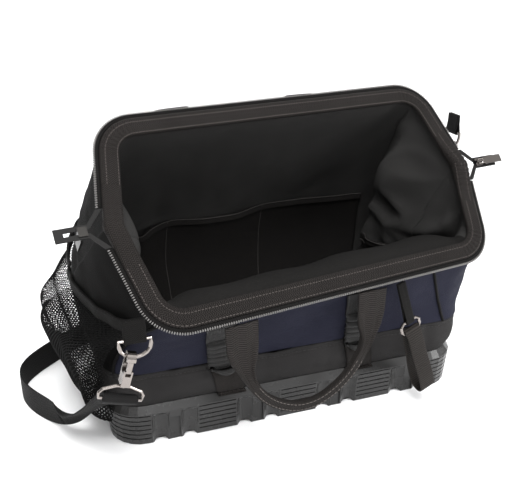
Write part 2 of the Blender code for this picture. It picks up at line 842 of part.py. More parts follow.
FRONT_COLUMNS = 21
END_COLUMNS = 17
WALL_LEVELS = 6


def make_walls():
    lows, highs = split_low(), split_high()
    names = ("front_panel", "right_end_panel", "back_panel", "left_end_panel")
    outs = (Vector((0, -1, 0)), Vector((1, 0, 0)), Vector((0, 1, 0)), Vector((-1, 0, 0)))
    bellies = (WALL_BELLY, END_BELLY, BACK_BELLY, END_BELLY)
    walls = {}
    for name, low, high, out, belly in zip(names, lows, highs, outs, bellies):
        columns = FRONT_COLUMNS if name in ("front_panel", "back_panel") else END_COLUMNS
        low_row, high_row = spaced(trimmed(low), columns), spaced(trimmed(high), columns)
        rows = wall_rows(low_row, high_row, belly, out, WALL_LEVELS)
        first = Vector((math.copysign(1, low[0].x), math.copysign(1, low[0].y), 0)).normalized()
        last = Vector((math.copysign(1, low[-1].x), math.copysign(1, low[-1].y), 0)).normalized()
        thick_sheet(name, rows, WALL_THICKNESS, "navy_cloth", (first, last))
        walls[name] = (rows, out)
    return walls


def strip_line(panel_rows, low_x, high_x, side, levels):
    """A line up the outside of the wall, from the base's shoulder to a level of the panel."""
    shoulder = (RIB_ZONE_TOP + BASE_HEIGHT) / 2
    profile = [(shoulder, -SHOULDER_INSET / 2)]
    for k in range(4):
        height = BASE_HEIGHT + GAP + (BAND_TOP - BASE_HEIGHT) * k / 4
        profile.append((height, band_outset(height)))
    total = len(profile) + levels - 1
    points = []
    for i, (height, outset) in enumerate(profile):
        x = low_x + (high_x - low_x) * i / total
        points.append(Vector((x, side * (HALF_DEPTH + outset), height)))
    for k in range(levels):
        x = low_x + (high_x - low_x) * (len(profile) + k) / total
        points.append(row_at(panel_rows[k], x))
    return points


def row_at(row, x):
    """The point of a wall's row at a place along the bag."""
    ordered = sorted(row, key=lambda p: p.x)
    for a, b in zip(ordered, ordered[1:]):
        if a.x <= x <= b.x:
            return a.lerp(b, (x - a.x) / (b.x - a.x))
    return ordered[0] if x < ordered[0].x else ordered[-1]


def make_strip(name, panel_rows, centre_low, centre_high, side, levels):
    """Webbing sewn up the wall from the base's shoulder."""
    half = STRIP_WIDTH / 2
    edges = [strip_line(panel_rows, centre_low + e, centre_high + e, side, levels) for e in (-half, half)]
    tangents = path_tangents(edges[0])
    rows = []
    for left, right, tangent in zip(edges[0], edges[1], tangents):
        out = (right - left).cross(tangent).normalized()
        if out.y * side < 0:
            out = -out
        lift = out * (GAP * 3 + WEBBING_THICKNESS)
        ends = (left + lift, right + lift)
        rows.append(ends if side < 0 else ends[::-1])
    thick_sheet(name, rows, WEBBING_THICKNESS, "webbing")


def bar_axis():
    return (MOUTH.to_3x3() @ Vector((1, 0, 0))).normalized()


def make_handle(name, side, lean):
    """Carrying handle whose two legs meet in a stitched grip."""
    half = HANDLE_SPACING / 2
    share = [(1.0, -HANDLE_SEAM / HANDLE_DROP), (0.985, 0.27), (0.92, 0.51), (0.72, 0.74), (0.42, 0.90), (0.14, 0.97)]
    shape = [(-half * a, HANDLE_DROP * b) for a, b in share]
    shape += [(half * a, HANDLE_DROP * b) for a, b in reversed(share)]
    sizes = [(1.0, 1.0), (1.0, 1.0), (0.86, 1.3), (0.62, 2.2), (0.53, 2.5), (0.53, 2.5)]
    sizes += sizes[::-1]
    root = mouth_point(side, HANDLE_SHIFT, HANDLE_REACH, -HANDLE_STAND)
    out = (MOUTH.to_3x3() @ Vector((0, side, 0))).normalized()
    down = (Vector((0, 0, -1)) * math.cos(lean) + out * math.sin(lean)).normalized()
    normal = (out * math.cos(lean) + Vector((0, 0, 1)) * math.sin(lean)).normalized()
    path = [root + bar_axis() * a + down * b for a, b in shape]

    def section(i):
        wide, thick = sizes[i]
        return flat_section(WEBBING_WIDTH * wide, WEBBING_THICKNESS * thick)

    return loft(name, sweep_loops(path, [normal] * len(path), section), "webbing")


def closed_sweep_loops(path, up, section):
    """Loops of a section along a closed flat path."""
    loops = []
    count = len(path)
    for i in range(count):
        tangent = (path[(i + 1) % count] - path[i - 1]).normalized()
        across = tangent.cross(up).normalized()
        loops.append([path[i] + across * a + up * b for a, b in section])
    return loops


def box_path(frame, width, drop):
    """Oblong closed path with cut corners, hanging from its upper bar."""
    half = width / 2
    share = [(-0.7, 0.0), (0.7, 0.0), (1.0, -0.25), (1.0, -0.75), (0.85, -1.0), (-0.85, -1.0), (-1.0, -0.75)]
    share.append((-1.0, -0.25))
    return [frame @ Vector((half * a, 0, drop * b)) for a, b in share]


def d_path(frame, width, drop):
    """D-shaped closed path hanging from its straight bar at the frame's origin."""
    half = width / 2
    points = [(-half, 0.0), (-half * 0.5, 0.0), (half * 0.5, 0.0), (half, 0.0)]
    for k in range(0, 9):
        angle = math.pi * k / 8
        points.append((half * math.cos(angle), -drop * 0.3 - drop * 0.7 * math.sin(angle)))
    return [frame @ Vector((a, 0, b)) for a, b in points]


def make_ring(name, frame, path):
    up = (frame.to_3x3() @ Vector((0, 1, 0))).normalized()
    section = round_section(RING_WIRE_RADIUS, RING_WIRE_RADIUS, 10)
    return loft(name, closed_sweep_loops(path, up, section), "chrome", closed=True)


def hook_seat(frame, tilt):
    """Frame of a hook where a ring's arc stands square to the hook's own tilt."""
    wide, deep = RING_WIDTH / 2, RING_DROP * 0.7
    turn = math.atan(math.tan(tilt) * wide / deep)
    seat = Vector((-wide * math.sin(turn), 0, -RING_DROP * 0.3 - deep * math.cos(turn)))
    return frame @ Matrix.Translation(seat) @ Matrix.Rotation(tilt, 4, "Y")


def make_ring_tab(name, frame, width, rise):
    """Webbing folded round a ring's bar, with its sewn end above."""
    bore = RING_WIRE_RADIUS + GAP
    outer = bore + RING_TAB_WALL
    outside, inside = [], []
    for k in range(12):
        angle = math.pi * 2 * k / 12
        c, s = math.cos(angle), math.sin(angle)
        inside.append((bore * c, bore * s))
        if s > 0.6:
            outside.append((RING_TAB_WALL * math.copysign(1.0, c) if abs(c) > 0.1 else 0.0, rise))
        else:
            outside.append((outer * c, outer * s))
    outer_loops, inner_loops = [], []
    for along in (-width / 2, width / 2):
        outer_loops.append([frame @ Vector((along, a, b)) for a, b in outside])
        inner_loops.append([frame @ Vector((along, a, b)) for a, b in inside])
    bm = bmesh.new()
    add_tube_shell(bm, outer_loops, inner_loops)
    return add_object(name, bm, "webbing")


def extrude_loops(frame, profile, half_width):
    """A profile of depth and height drawn out sideways in a frame."""
    return [[frame @ Vector((x, a, b)) for a, b in profile] for x in (-half_width, half_width)]


def cross_bar_loops(frame, centre, radius, half_width, sides=12):
    loop = [(centre[0] + radius * math.cos(k * 2 * math.pi / sides),
             centre[1] + radius * math.sin(k * 2 * math.pi / sides)) for k in range(sides)]
    return extrude_loops(frame, loop, half_width)


THROAT_DROP = HOOK_THROAT / 2 - RING_WIRE_RADIUS - RING_PLAY
HOOK_BLOCK_TOP = -THROAT_DROP - HOOK_OPENING
HOOK_BOTTOM = HOOK_BLOCK_TOP - HOOK_SHANK_HEIGHT
GATE_PIVOT = (-(HOOK_THROAT + HOOK_WALL) / 2, HOOK_BLOCK_TOP + GATE_THICKNESS)


def make_hook_body(name, frame):
    """Spring-gate hook: a throat over the ring, a cheeked block and a bored shank."""
    inner, outer = HOOK_THROAT / 2, HOOK_THROAT / 2 + HOOK_WALL
    steps = 10
    profile = []
    for k in range(steps + 1):
        angle = math.pi * k / steps
        profile.append((-outer * math.cos(angle), -THROAT_DROP + outer * math.sin(angle)))
    profile.append((outer, HOOK_BOTTOM))
    profile.append((-outer, HOOK_BOTTOM))
    profile.append((-outer, HOOK_BLOCK_TOP + GATE_THICKNESS * 1.7))
    profile.append((-inner, HOOK_BLOCK_TOP + GATE_THICKNESS * 1.7))
    profile.append((-inner, HOOK_BLOCK_TOP))
    profile.append((inner, HOOK_BLOCK_TOP))
    for k in range(steps + 1):
        angle = math.pi * (1 - k / steps)
        profile.append((-inner * math.cos(angle), -THROAT_DROP + inner * math.sin(angle)))
    profile.append((-inner, -THROAT_DROP - HOOK_LIP))
    profile.append((-outer, -THROAT_DROP - HOOK_LIP))
    body = loft(name, extrude_loops(frame, profile, HOOK_THICKNESS / 2), "chrome", smooth=True)
    slot_half = GATE_WIDTH / 2 + RUNNING_CLEARANCE * 2
    slot = [
        (-outer - OVERRUN, HOOK_BLOCK_TOP - GATE_THICKNESS * 0.6),
        (-inner * 0.3, HOOK_BLOCK_TOP - GATE_THICKNESS * 0.6),
        (-inner * 0.3, HOOK_BLOCK_TOP + OVERRUN),
        (-outer - OVERRUN, HOOK_BLOCK_TOP + OVERRUN),
    ]
    pin = cross_bar_loops(frame, GATE_PIVOT, GATE_PIN_RADIUS + RUNNING_CLEARANCE, HOOK_THICKNESS, 12)
    axis = (frame.to_3x3() @ Vector((0, 0, 1))).normalized()
    low = frame @ Vector((0, 0, HOOK_BOTTOM))
    bore = disc_loops(low, axis, STEM_BORE_RADIUS, -OVERRUN, STEM_DEPTH, 14)
    subtract(body, name + "_slot", [extrude_loops(frame, slot, slot_half)])
    subtract(body, name + "_holes", [pin, bore])
    return body


def make_hook_gate(name, frame):
    """Sprung gate that closes the throat, turning on its cross pin."""
    inner, outer = HOOK_THROAT / 2, HOOK_THROAT / 2 + HOOK_WALL
    top = -THROAT_DROP - HOOK_LIP - GAP
    mid = GATE_PIVOT[0]
    half = GATE_THICKNESS / 2
    y, z = GATE_PIVOT
    profile = [
        (mid - half, z - half * 0.4),
        (mid - half * 0.4, z - half),
        (mid + half * 0.4, z - half),
        (mid + half, z - half * 0.4),
        (mid + half, top),
        (mid - half, top),
    ]
    gate = loft(name, extrude_loops(frame, profile, GATE_WIDTH / 2), "chrome")
    pin = bmesh.new()
    add_loft(pin, cross_bar_loops(frame, GATE_PIVOT, GATE_PIN_RADIUS, HOOK_THICKNESS / 2, 12))
    tool = add_object(name + "_pin", pin, "steel")
    join(gate, tool)
    return gate


def join(obj, other):
    """Welds another solid into an object."""
    other.hide_render = True
    other.display_type = "WIRE"
    weld = obj.modifiers.new(other.name, "BOOLEAN")
    weld.operation = "UNION"
    weld.solver = "EXACT"
    weld.object = other


def make_strap_eye(name, frame):
    """Swivel eye: a stem in the hook's bore and a wide loop for the strap."""
    low = HOOK_BOTTOM
    axis = (frame.to_3x3() @ Vector((0, 0, 1))).normalized()
    origin = frame @ Vector((0, 0, low))
    profile = [
        (STEM_DEPTH - GAP, STEM_RADIUS),
        (-GAP, STEM_RADIUS),
        (-GAP, COLLAR_RADIUS),
        (-GAP - COLLAR_THICKNESS, COLLAR_RADIUS),
        (-GAP - COLLAR_THICKNESS * 2, COLLAR_RADIUS * 0.8),
    ]
    stem = loft(name, turned_loops(origin, axis, profile, 14), "chrome")
    half, drop = EYE_BAR_LENGTH / 2, EYE_DROP
    top = low - GAP - COLLAR_THICKNESS * 1.5
    share = [(-0.30, 0.0), (0.30, 0.0), (0.86, -0.32), (1.0, -0.62), (0.97, -1.0)]
    share += [(0.5, -1.0), (-0.5, -1.0), (-0.97, -1.0), (-1.0, -0.62), (-0.86, -0.32)]
    path = [frame @ Vector((half * a, 0, top + drop * b)) for a, b in share]
    up = (frame.to_3x3() @ Vector((0, 1, 0))).normalized()
    section = round_section(EYE_WIRE_RADIUS, EYE_WIRE_RADIUS, 10)
    bm = bmesh.new()
    add_loft(bm, closed_sweep_loops(path, up, section), closed=True)
    join(stem, add_object(name + "_loop", bm, "steel"))
    return stem


def eye_bar_point(frame):
    """Middle of the eye's lower bar."""
    top = HOOK_BOTTOM - GAP - COLLAR_THICKNESS * 1.5
    return frame @ Vector((0, 0, top - EYE_DROP))


def make_strap(front_frame, back_frame):
    """Shoulder strap that runs from eye to eye over the floor, folded round each bar."""
    path, ups = [], []
    wrap = EYE_WIRE_RADIUS + GAP * 2 + STRAP_THICKNESS / 2

    def add(place, up):
        path.append(Vector(place))
        ups.append(Vector(up).normalized())

    front_bar = eye_bar_point(front_frame)
    bar = (front_frame.to_3x3() @ Vector((1, 0, 0))).normalized()
    leave = Vector((0, 0.80, -0.60))
    leave = (leave - bar * leave.dot(bar)).normalized()
    side = -bar.cross(leave).normalized()
    side = side if side.z < 0 else -side
    tail = front_bar + side * wrap * 1.0
    add(tail + leave * STRAP_TAIL, side)
    add(tail + leave * STRAP_TAIL * 0.4, side)
    for k in range(5):
        angle = math.pi * k / 4
        out = side * math.cos(angle) - leave * math.sin(angle)
        add(front_bar + out * wrap, out)
    run = -side
    add(front_bar + run * (wrap + GAP) + leave * STRAP_TAIL * 0.9, run)
    floor = STRAP_WIDTH / 2 + GAP
    unit = STRAP_SPREAD
    for (x, y, z), up in zip(STRAP_FALL_SHARES, ((-0.20, 0.62, 0.74), (-0.30, 0.86, 0.42))):
        add((x * unit - HALF_LENGTH, y * HALF_DEPTH, z * unit), up)
    flat = [Vector((x * unit - HALF_LENGTH, y * HALF_DEPTH, floor)) for x, y in STRAP_LEFT_SHARES]
    for x, y in STRAP_BACK_SHARES:
        flat.append(Vector((x * HALF_LENGTH, HALF_DEPTH + y * STRAP_BEHIND, floor)))
    for i, place in enumerate(flat):
        run_way = flat[min(i + 1, len(flat) - 1)] - flat[max(i - 1, 0)]
        add(place, (run_way.y, -run_way.x, 0))
    back_bar = eye_bar_point(back_frame)
    for (x, y, z), up in zip(STRAP_RISE_SHARES, ((-0.45, -0.85, 0.10), (-0.85, -0.50, 0.10))):
        add((x * unit + HALF_LENGTH, y * HALF_DEPTH, z * unit), up)
    x, y, z = STRAP_LAST_SHARES
    add((back_bar.x + x * unit, y * HALF_DEPTH, z * unit), (-0.97, -0.20, 0.10))
    bar = (back_frame.to_3x3() @ Vector((1, 0, 0))).normalized()
    up_way = Vector((-0.04, -0.20, 0.97))
    up_way = (up_way - bar * up_way.dot(bar)).normalized()
    outer = bar.cross(up_way).normalized()
    outer = outer if outer.x > 0 else -outer
    start = back_bar + outer * wrap
    add(start - up_way * STRAP_TAIL * 1.4, -outer)
    for k in range(5):
        angle = math.pi * k / 4
        out = outer * math.cos(angle) + up_way * math.sin(angle)
        add(back_bar + out * wrap, -out)
    add(back_bar - outer * wrap - up_way * STRAP_TAIL * 0.5, outer)
    add(back_bar - outer * wrap - up_way * STRAP_TAIL, outer)
    section = flat_section(STRAP_WIDTH, STRAP_THICKNESS)
    return loft("shoulder_strap", sweep_loops(path, ups, lambda i: section), "webbing")


def left_outside(wall_rows_left, height, share):
    """A point on the outside of the left end, by its height and its share of the way forward."""
    if height > BAND_TOP:
        lines = [row_share(row, share) for row in wall_rows_left]
        for low, high in zip(lines, lines[1:]):
            if low.z <= height <= high.z:
                return low.lerp(high, (height - low.z) / (high.z - low.z))
    arc = ARC_STEPS + 1
    half = ARC_STEPS // 2
    grow = band_outset(height) if height > BASE_HEIGHT else 0.0
    points = base_outline(0.0, height, grow)
    return row_share(points[2 * arc + half:3 * arc] + points[3 * arc:3 * arc + half + 1], share)


def row_share(row, share):
    """The point at a share of a polyline's length."""
    lengths = [0.0]
    for a, b in zip(row, row[1:]):
        lengths.append(lengths[-1] + (b - a).length)
    target = lengths[-1] * share
    for a, b, low, high in zip(row, row[1:], lengths, lengths[1:]):
        if target <= high:
            return a.lerp(b, (target - low) / (high - low))
    return row[-1].copy()


def make_mesh_pocket(wall_rows_left):
    """Netting pocket round the left end, baggy below its gathered mouth."""
    columns = 17
    rows = []
    profile = [(BAND_TOP * MESH_FOOT_SHARE, 0.0), (BAND_TOP * MESH_SAG_SHARE, 0.42)]
    profile += [(BAND_TOP * height, stand) for height, stand in MESH_ROW_SHARES]
    profile.append((None, MESH_MOUTH_SHARE))
    for height, stand in profile:
        row = []
        for i in range(columns):
            share = 0.03 + 0.94 * i / (columns - 1)
            side = 1 - 2 * share
            level = MESH_TOP + MESH_BACK_RISE * max(0.0, side) ** 1.5 if height is None else height
            bulge = max(0.0, math.cos(side * math.pi / 2)) ** 0.7
            place = left_outside(wall_rows_left, level, share)
            turn = math.radians(45) * max(0.0, abs(side) - 0.7) / 0.3
            out = Vector((-math.cos(turn), math.copysign(math.sin(turn), side), 0))
            row.append(place + out * (MESH_EDGE_STAND + MESH_STAND * stand * bulge))
        rows.append(row)
    thick_sheet("mesh_pocket", rows, POCKET_THICKNESS, "mesh")
    band = []
    for lift in (GAP * 3, BINDING_HEIGHT):
        band.append([p + Vector((-GAP, 0, lift)) for p in rows[-1]])
    thick_sheet("mesh_pocket_binding", band, BINDING_THICKNESS, "webbing")


def make_inner_pocket(name, wall, first, last, low, high, lean, kind="lining"):
    """Pocket sheet inside a wall, close at its foot and standing off at its open top."""
    rows = []
    levels = 5
    for k in range(levels):
        t = k / (levels - 1)
        level = (low + (high - low) * t) * (WALL_LEVELS - 1)
        row = []
        for i in range(first, last + 1):
            place, out = wall_sample(wall, i, level)
            row.append(place - out * (WALL_THICKNESS + POCKET_STAND + lean * t))
        rows.append(row)
    return thick_sheet(name, rows, POCKET_THICKNESS, kind)


def make_front_liner(name, wall, first, last):
    """Slack shelf of lining that hangs from the front rim and tucks back to the wall."""
    inward = (MOUTH.to_3x3() @ Vector((0, 1, 0))).normalized()
    drop = SLEEVE_THICKNESS / 2 + GAP + LINER_THICKNESS * math.cos(MOUTH_TILT)
    path = mouth_path(FRONT, CHAIN_WIDTH + SLEEVE_WIDTH * 0.8, 0, -drop, ARC_STEPS)
    middle = ARC_STEPS // 2 + 1
    rim_row = spaced(path[middle:len(path) - middle], FRONT_COLUMNS)
    rows = [[] for _ in range(len(LINER_SHARES) + 1)]
    for i in range(first, last + 1):
        share = i / (FRONT_COLUMNS - 1)
        weight = smooth(share, 0.05, 0.20) * (1 - smooth(share, 0.94, 1.0))
        foot, out = wall_sample(wall, i, LINER_FOOT_SHARE * (WALL_LEVELS - 1))
        foot = foot - out * (WALL_THICKNESS + LINER_STAND)
        rim = rim_row[i]
        rows[0].append(foot)
        depth = LINER_REACH * (1 - LINER_RIGHT_SHARE * smooth(share, 0.48, 0.92))
        for row, (reach, rise) in zip(rows[1:], LINER_SHARES):
            shelf = rim + inward * (depth * reach) + Vector((0, 0, LINER_FALL * rise))
            plain = rim.lerp(foot, min(0.94, max(0.0, -rise) * 0.9 + reach * 0.05))
            row.append(plain.lerp(shelf, weight))
    thick_sheet(name, rows, LINER_THICKNESS, "lining")


def smooth(value, low, high):
    """Even rise from 0 to 1 between two values."""
    t = min(1.0, max(0.0, (value - low) / (high - low)))
    return t * t * (3 - 2 * t)


def wall_sample(wall, column, level):
    """A point of a wall's grid at a level, and the way out of the bag there."""
    rows, out = wall
    k = min(int(level), len(rows) - 2)
    a, b = rows[k][column], rows[k + 1][column]
    return a.lerp(b, level - k), out


def make_tail(name, sign):
    """Closed end of the zip beyond the hinge, slit so that its slider can run."""
    start, end = TAIL_START, TAIL_START + TAIL_LENGTH
    half, slit = TAIL_WIDTH / 2, TAIL_SLIT / 2
    meet = CHAIN_START - GAP * 3
    far = arm_at(meet, 0.0)
    near = far - CHAIN_WIDTH
    outline = [
        (near, -meet), (far, -meet), (start, -half), (end, -half), (end, half), (start, half), (far, meet),
        (near, meet), (start - SLIDER_STAND, slit), (end - TAIL_CLOSED, slit), (end - TAIL_CLOSED, -slit),
        (start - SLIDER_STAND, -slit),
    ]
    loops = []
    for rise in (-TAIL_THICKNESS / 2, TAIL_THICKNESS / 2):
        loops.append([mouth_point(BACK, sign * a, b, rise) for a, b in outline])
    return loft(name, loops, "webbing")


def make_slider(name, sign):
    """Zip slider: two plates on a bridge, with the lug that holds its pull."""
    start = TAIL_START + SLIDER_STAND
    half = SLIDER_WIDTH / 2
    inner = TAIL_THICKNESS / 2 + GAP
    outer = inner + SLIDER_PLATE
    bridge = TAIL_SLIT / 2 - GAP
    profile = [
        (-half, -outer), (half, -outer), (half, -inner), (bridge, -inner), (bridge, inner), (half, inner),
        (half, outer), (bridge, outer), (bridge * 0.7, outer + SLIDER_LUG), (-bridge * 0.7, outer + SLIDER_LUG),
        (-bridge, outer), (-half, outer), (-half, inner), (-bridge, inner), (-bridge, -inner), (-half, -inner),
    ]
    loops = []
    for along in (start, start + SLIDER_LENGTH):
        loops.append([mouth_point(BACK, sign * along, a, sign * b) for a, b in profile])
    slider = loft(name, loops, "gunmetal")
    hole = []
    for reach in (-OVERRUN, OVERRUN):
        loop = []
        for k in range(12):
            angle = 2 * math.pi * k / 12
            along = start + SLIDER_LENGTH / 2 + LUG_BORE * math.cos(angle)
            rise = outer + SLIDER_LUG / 2 + LUG_BORE * math.sin(angle)
            loop.append(mouth_point(BACK, sign * along, reach, sign * rise))
        hole.append(loop)
    subtract(slider, name + "_eye", [hole])
    return slider


def pull_seat():
    """Where a pull hangs in its slider's lug: how far along the zip's end, and how far above it."""
    start = TAIL_START + SLIDER_STAND + SLIDER_LENGTH / 2
    return start, TAIL_THICKNESS / 2 + GAP + SLIDER_PLATE + SLIDER_LUG / 2


def pull_point(sign, away, across, lift):
    """A point of a pull: the right one lies along its zip's end, the left one hangs down under it."""
    start, rise = pull_seat()
    if sign > 0:
        return mouth_point(BACK, start + away, across, rise + lift)
    return mouth_point(BACK, -start + lift, across, -rise - away)


def make_pull(name, sign):
    """Zip pull: a wire bow through the slider's lug and a ribbed tab."""
    bow = PULL_BOW
    half = TAIL_SLIT / 2 + PULL_WIRE + GAP
    points = [(0.0, -half), (bow, -half), (bow, half), (0.0, half)]
    path = []
    for i, (a, b) in enumerate(points):
        c, d = points[(i + 1) % 4]
        path.append(pull_point(sign, a, b, 0.0))
        path.append(pull_point(sign, (a + c) / 2, (b + d) / 2, 0.0))
    section = round_section(PULL_WIRE, PULL_WIRE, 8)
    flat_way = mouth_normal() if sign > 0 else bar_axis()
    pull = loft(name, closed_sweep_loops(path, flat_way, section), "gunmetal", closed=True)
    half_w, half_t = PULL_WIDTH / 2, PULL_THICKNESS / 2
    low, high = bow, bow + PULL_LENGTH
    plate = [(low, half_w * 0.6), (low + PULL_WIDTH / 3, half_w), (high, half_w), (high, -half_w)]
    plate += [(low + PULL_WIDTH / 3, -half_w), (low, -half_w * 0.6)]
    bm = bmesh.new()
    add_loft(bm, [[pull_point(sign, a, b, lift) for a, b in plate] for lift in (-half_t, half_t)])
    join(pull, add_object(name + "_tab", bm, "steel"))
    return pull


def make_tool_loop():
    """Small ring on a tab under the front edge, with a webbing loop through it."""
    top = mouth_point(FRONT, TOOL_ALONG, HANDLE_REACH, -HANDLE_STAND)
    turned = Matrix.Rotation(MOUTH_YAW, 4, "Z") @ Matrix.Rotation(TOOL_LEAN, 4, "Y")
    frame = Matrix.Translation(top) @ turned @ Matrix.Translation((0, 0, -TOOL_TAB_LENGTH))
    make_ring_tab("tool_loop_tab", frame, TOOL_TAB_WIDTH, TOOL_TAB_LENGTH)
    make_ring("tool_loop_ring", frame, box_path(frame, TOOL_RING_WIDTH, TOOL_RING_DROP))
    swing = frame @ Matrix.Translation((0, 0, -TOOL_RING_DROP))
    wrap = RING_WIRE_RADIUS + GAP * 2 + WEBBING_THICKNESS / 2
    path = []
    for k in range(5):
        angle = math.pi * k / 4
        path.append((wrap * math.cos(angle), wrap * math.sin(angle)))
    belly = TOOL_LOOP_DEPTH / 2
    path += [(-belly * 0.7, -TOOL_LOOP_LENGTH * 0.4), (-belly, -TOOL_LOOP_LENGTH * 0.8)]
    for k in range(1, 4):
        angle = math.pi * k / 4
        path.append((-belly * math.cos(angle), -TOOL_LOOP_LENGTH * 0.85 - belly * math.sin(angle)))
    path += [(belly, -TOOL_LOOP_LENGTH * 0.8), (belly * 0.7, -TOOL_LOOP_LENGTH * 0.4)]
    places = [swing @ Vector((0, a, b)) for a, b in path]
    up = (swing.to_3x3() @ Vector((1, 0, 0))).normalized()
    section = flat_section(WEBBING_THICKNESS, TOOL_LOOP_WIDTH)
    loft("tool_loop_webbing", closed_sweep_loops(places, up, section), "webbing", closed=True)


def ring_frames():
    """Frames of the two strap rings: origin on the ring's bar, X along it, Y through it."""
    front = mouth_point(FRONT, -RING_ALONG, RING_REACH, -HANDLE_STAND)
    back = mouth_point(BACK, RING_ALONG, RING_REACH, -HANDLE_STAND)
    front_frame = Matrix.Translation(front + Vector((-RING_OUT * 0.4, -RING_OUT, -RING_TAB_RISE - RING_LOWER)))
    back_frame = Matrix.Translation(back + Vector((BACK_RING_OUT, 0, -RING_TAB_RISE - RING_LOWER)))
    return front_frame, back_frame @ Matrix.Rotation(math.pi / 2, 4, "Z")


def main():
    make_base_tray()
    make_base_board()
    make_lower_band()
    walls = make_walls()
    for side, word in ((FRONT, "front"), (BACK, "back")):
        make_frame_wire(word + "_frame", side)
        make_sleeve(word + "_frame_sleeve", side)
        make_zip_chain(word + "_zip_chain", side)
        panel = walls[word + "_panel"][0]
        lean = STRIP_LEAN if side == FRONT else 0.0
        for sign, hand in ((-1, "left"), (1, "right")):
            low = sign * STRIP_SPACING / 2
            make_strip(word + "_webbing_" + hand, panel, low, low + lean, side, WALL_LEVELS - 1)
        make_handle(word + "_handle", side, FRONT_HANDLE_LEAN if side == FRONT else BACK_HANDLE_LEAN)
    make_hinge_rivet("left_hinge_rivet", -1)
    make_hinge_rivet("right_hinge_rivet", 1)
    ring_frame = dict(zip(("front", "back"), ring_frames()))
    hook_frame = {}
    for word, frame in ring_frame.items():
        make_ring_tab(word + "_ring_tab", frame, RING_TAB_WIDTH, RING_TAB_RISE)
        make_ring(word + "_ring", frame, d_path(frame, RING_WIDTH, RING_DROP))
        hook_frame[word] = hook_seat(frame, HOOK_TILT if word == "front" else 0.0)
        make_hook_body(word + "_hook_body", hook_frame[word])
        make_hook_gate(word + "_hook_gate", hook_frame[word])
        make_strap_eye(word + "_strap_eye", hook_frame[word])
    make_strap(hook_frame["front"], hook_frame["back"])
    make_mesh_pocket(walls["left_end_panel"][0])
    last = FRONT_COLUMNS - 3
    foot, shelf_foot = POCKET_FOOT_SHARE, SHELF_FOOT_SHARE
    make_inner_pocket("inner_back_pocket", walls["back_panel"], 2, last, foot, BACK_POCKET_SHARE, BACK_POCKET_BULGE)
    make_inner_pocket("inner_end_pocket", walls["right_end_panel"], 5, 12, foot, END_POCKET_SHARE, END_POCKET_BULGE)
    make_inner_pocket("inner_front_pocket", walls["front_panel"], 2, last, shelf_foot, SHELF_SHARE, SHELF_DEPTH)
    make_front_liner("front_lining", walls["front_panel"], 2, FRONT_COLUMNS - 2)
    for sign, hand in ((-1, "left"), (1, "right")):
        make_tail(hand + "_zip_end", sign)
        make_slider(hand + "_slider", sign)
        make_pull(hand + "_pull", sign)
    make_tool_loop()


main()
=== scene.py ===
"""Finished look of the wide-mouth tool bag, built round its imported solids.

Metres, +Z up, in the frame of the solids. Soft pieces are fine grids made from the same
formulas as the solids that they stand for, with folds, hems, weave and stitching.
"""

import math

import bpy
import numpy as np
from mathutils import Matrix, Vector


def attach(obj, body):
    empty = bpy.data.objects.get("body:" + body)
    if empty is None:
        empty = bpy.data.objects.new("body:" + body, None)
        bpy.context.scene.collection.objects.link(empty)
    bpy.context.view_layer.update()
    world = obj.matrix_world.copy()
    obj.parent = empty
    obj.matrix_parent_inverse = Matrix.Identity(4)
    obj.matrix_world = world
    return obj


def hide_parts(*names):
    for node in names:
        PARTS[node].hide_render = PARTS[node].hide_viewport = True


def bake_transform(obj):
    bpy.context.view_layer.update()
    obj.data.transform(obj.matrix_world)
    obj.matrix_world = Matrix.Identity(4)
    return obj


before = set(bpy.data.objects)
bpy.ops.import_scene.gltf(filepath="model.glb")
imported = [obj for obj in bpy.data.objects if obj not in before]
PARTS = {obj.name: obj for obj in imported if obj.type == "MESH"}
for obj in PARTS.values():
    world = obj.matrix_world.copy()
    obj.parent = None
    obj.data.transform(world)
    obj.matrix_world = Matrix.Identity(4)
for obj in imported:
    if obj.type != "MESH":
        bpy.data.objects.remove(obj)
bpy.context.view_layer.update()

# Sizes of the solids
BASE_LENGTH, BASE_DEPTH, BASE_HEIGHT = 0.410, 0.220, 0.046
HALF_LENGTH, HALF_DEPTH = BASE_LENGTH / 2, BASE_DEPTH / 2
CORNER_RADIUS = 0.038
GAP = 0.0003
SHOULDER_INSET = 0.006
RIB_ZONE_TOP = 0.0385
BAND_TOP, BAND_BULGE = 0.090, 0.003
WALL_TUCK, SEAM_DROP = 0.0085, 0.0018
WALL_BELLY, BACK_BELLY, END_BELLY = 0.006, 0.012, 0.004
HINGE = np.array([0.013, -0.086, 0.252])
YAW, TILT = math.radians(9.2), math.radians(48.0)
FRAME_REACH = 0.112
HALF_HINGE = HALF_LENGTH + 0.012
HALF_CORNER = HALF_HINGE - 0.023
MOUTH_RADIUS = 0.046
CHAIN_WIDTH, CHAIN_START = 0.006, 0.020
SLEEVE_WIDTH, SLEEVE_THICKNESS, SLEEVE_START = 0.0185, 0.006, 0.040
SLEEVE_CENTRE = CHAIN_WIDTH + GAP + SLEEVE_WIDTH / 2
WEBBING_WIDTH, WEBBING_THICKNESS = 0.034, 0.002
STRIP_WIDTH, STRIP_SPACING, STRIP_LEAN = 0.030, 0.150, -0.028
HANDLE_SPACING, HANDLE_SHIFT = 0.146, -0.038
HANDLE_DROP, HANDLE_REACH, HANDLE_STAND = 0.112, 0.113, 0.0029
STRAP_WIDTH, STRAP_THICKNESS = 0.032, 0.0022
EYE_WIRE_RADIUS, RING_WIRE_RADIUS = 0.0017, 0.0018
FRONT, BACK = -1, 1
HANDLE_LEAN = {FRONT: math.radians(1.0), BACK: math.radians(47.0)}
WORD = {FRONT: "front", BACK: "back"}
HANDS = ((-1, "left"), (1, "right"))
X, Y, Z = np.eye(3)

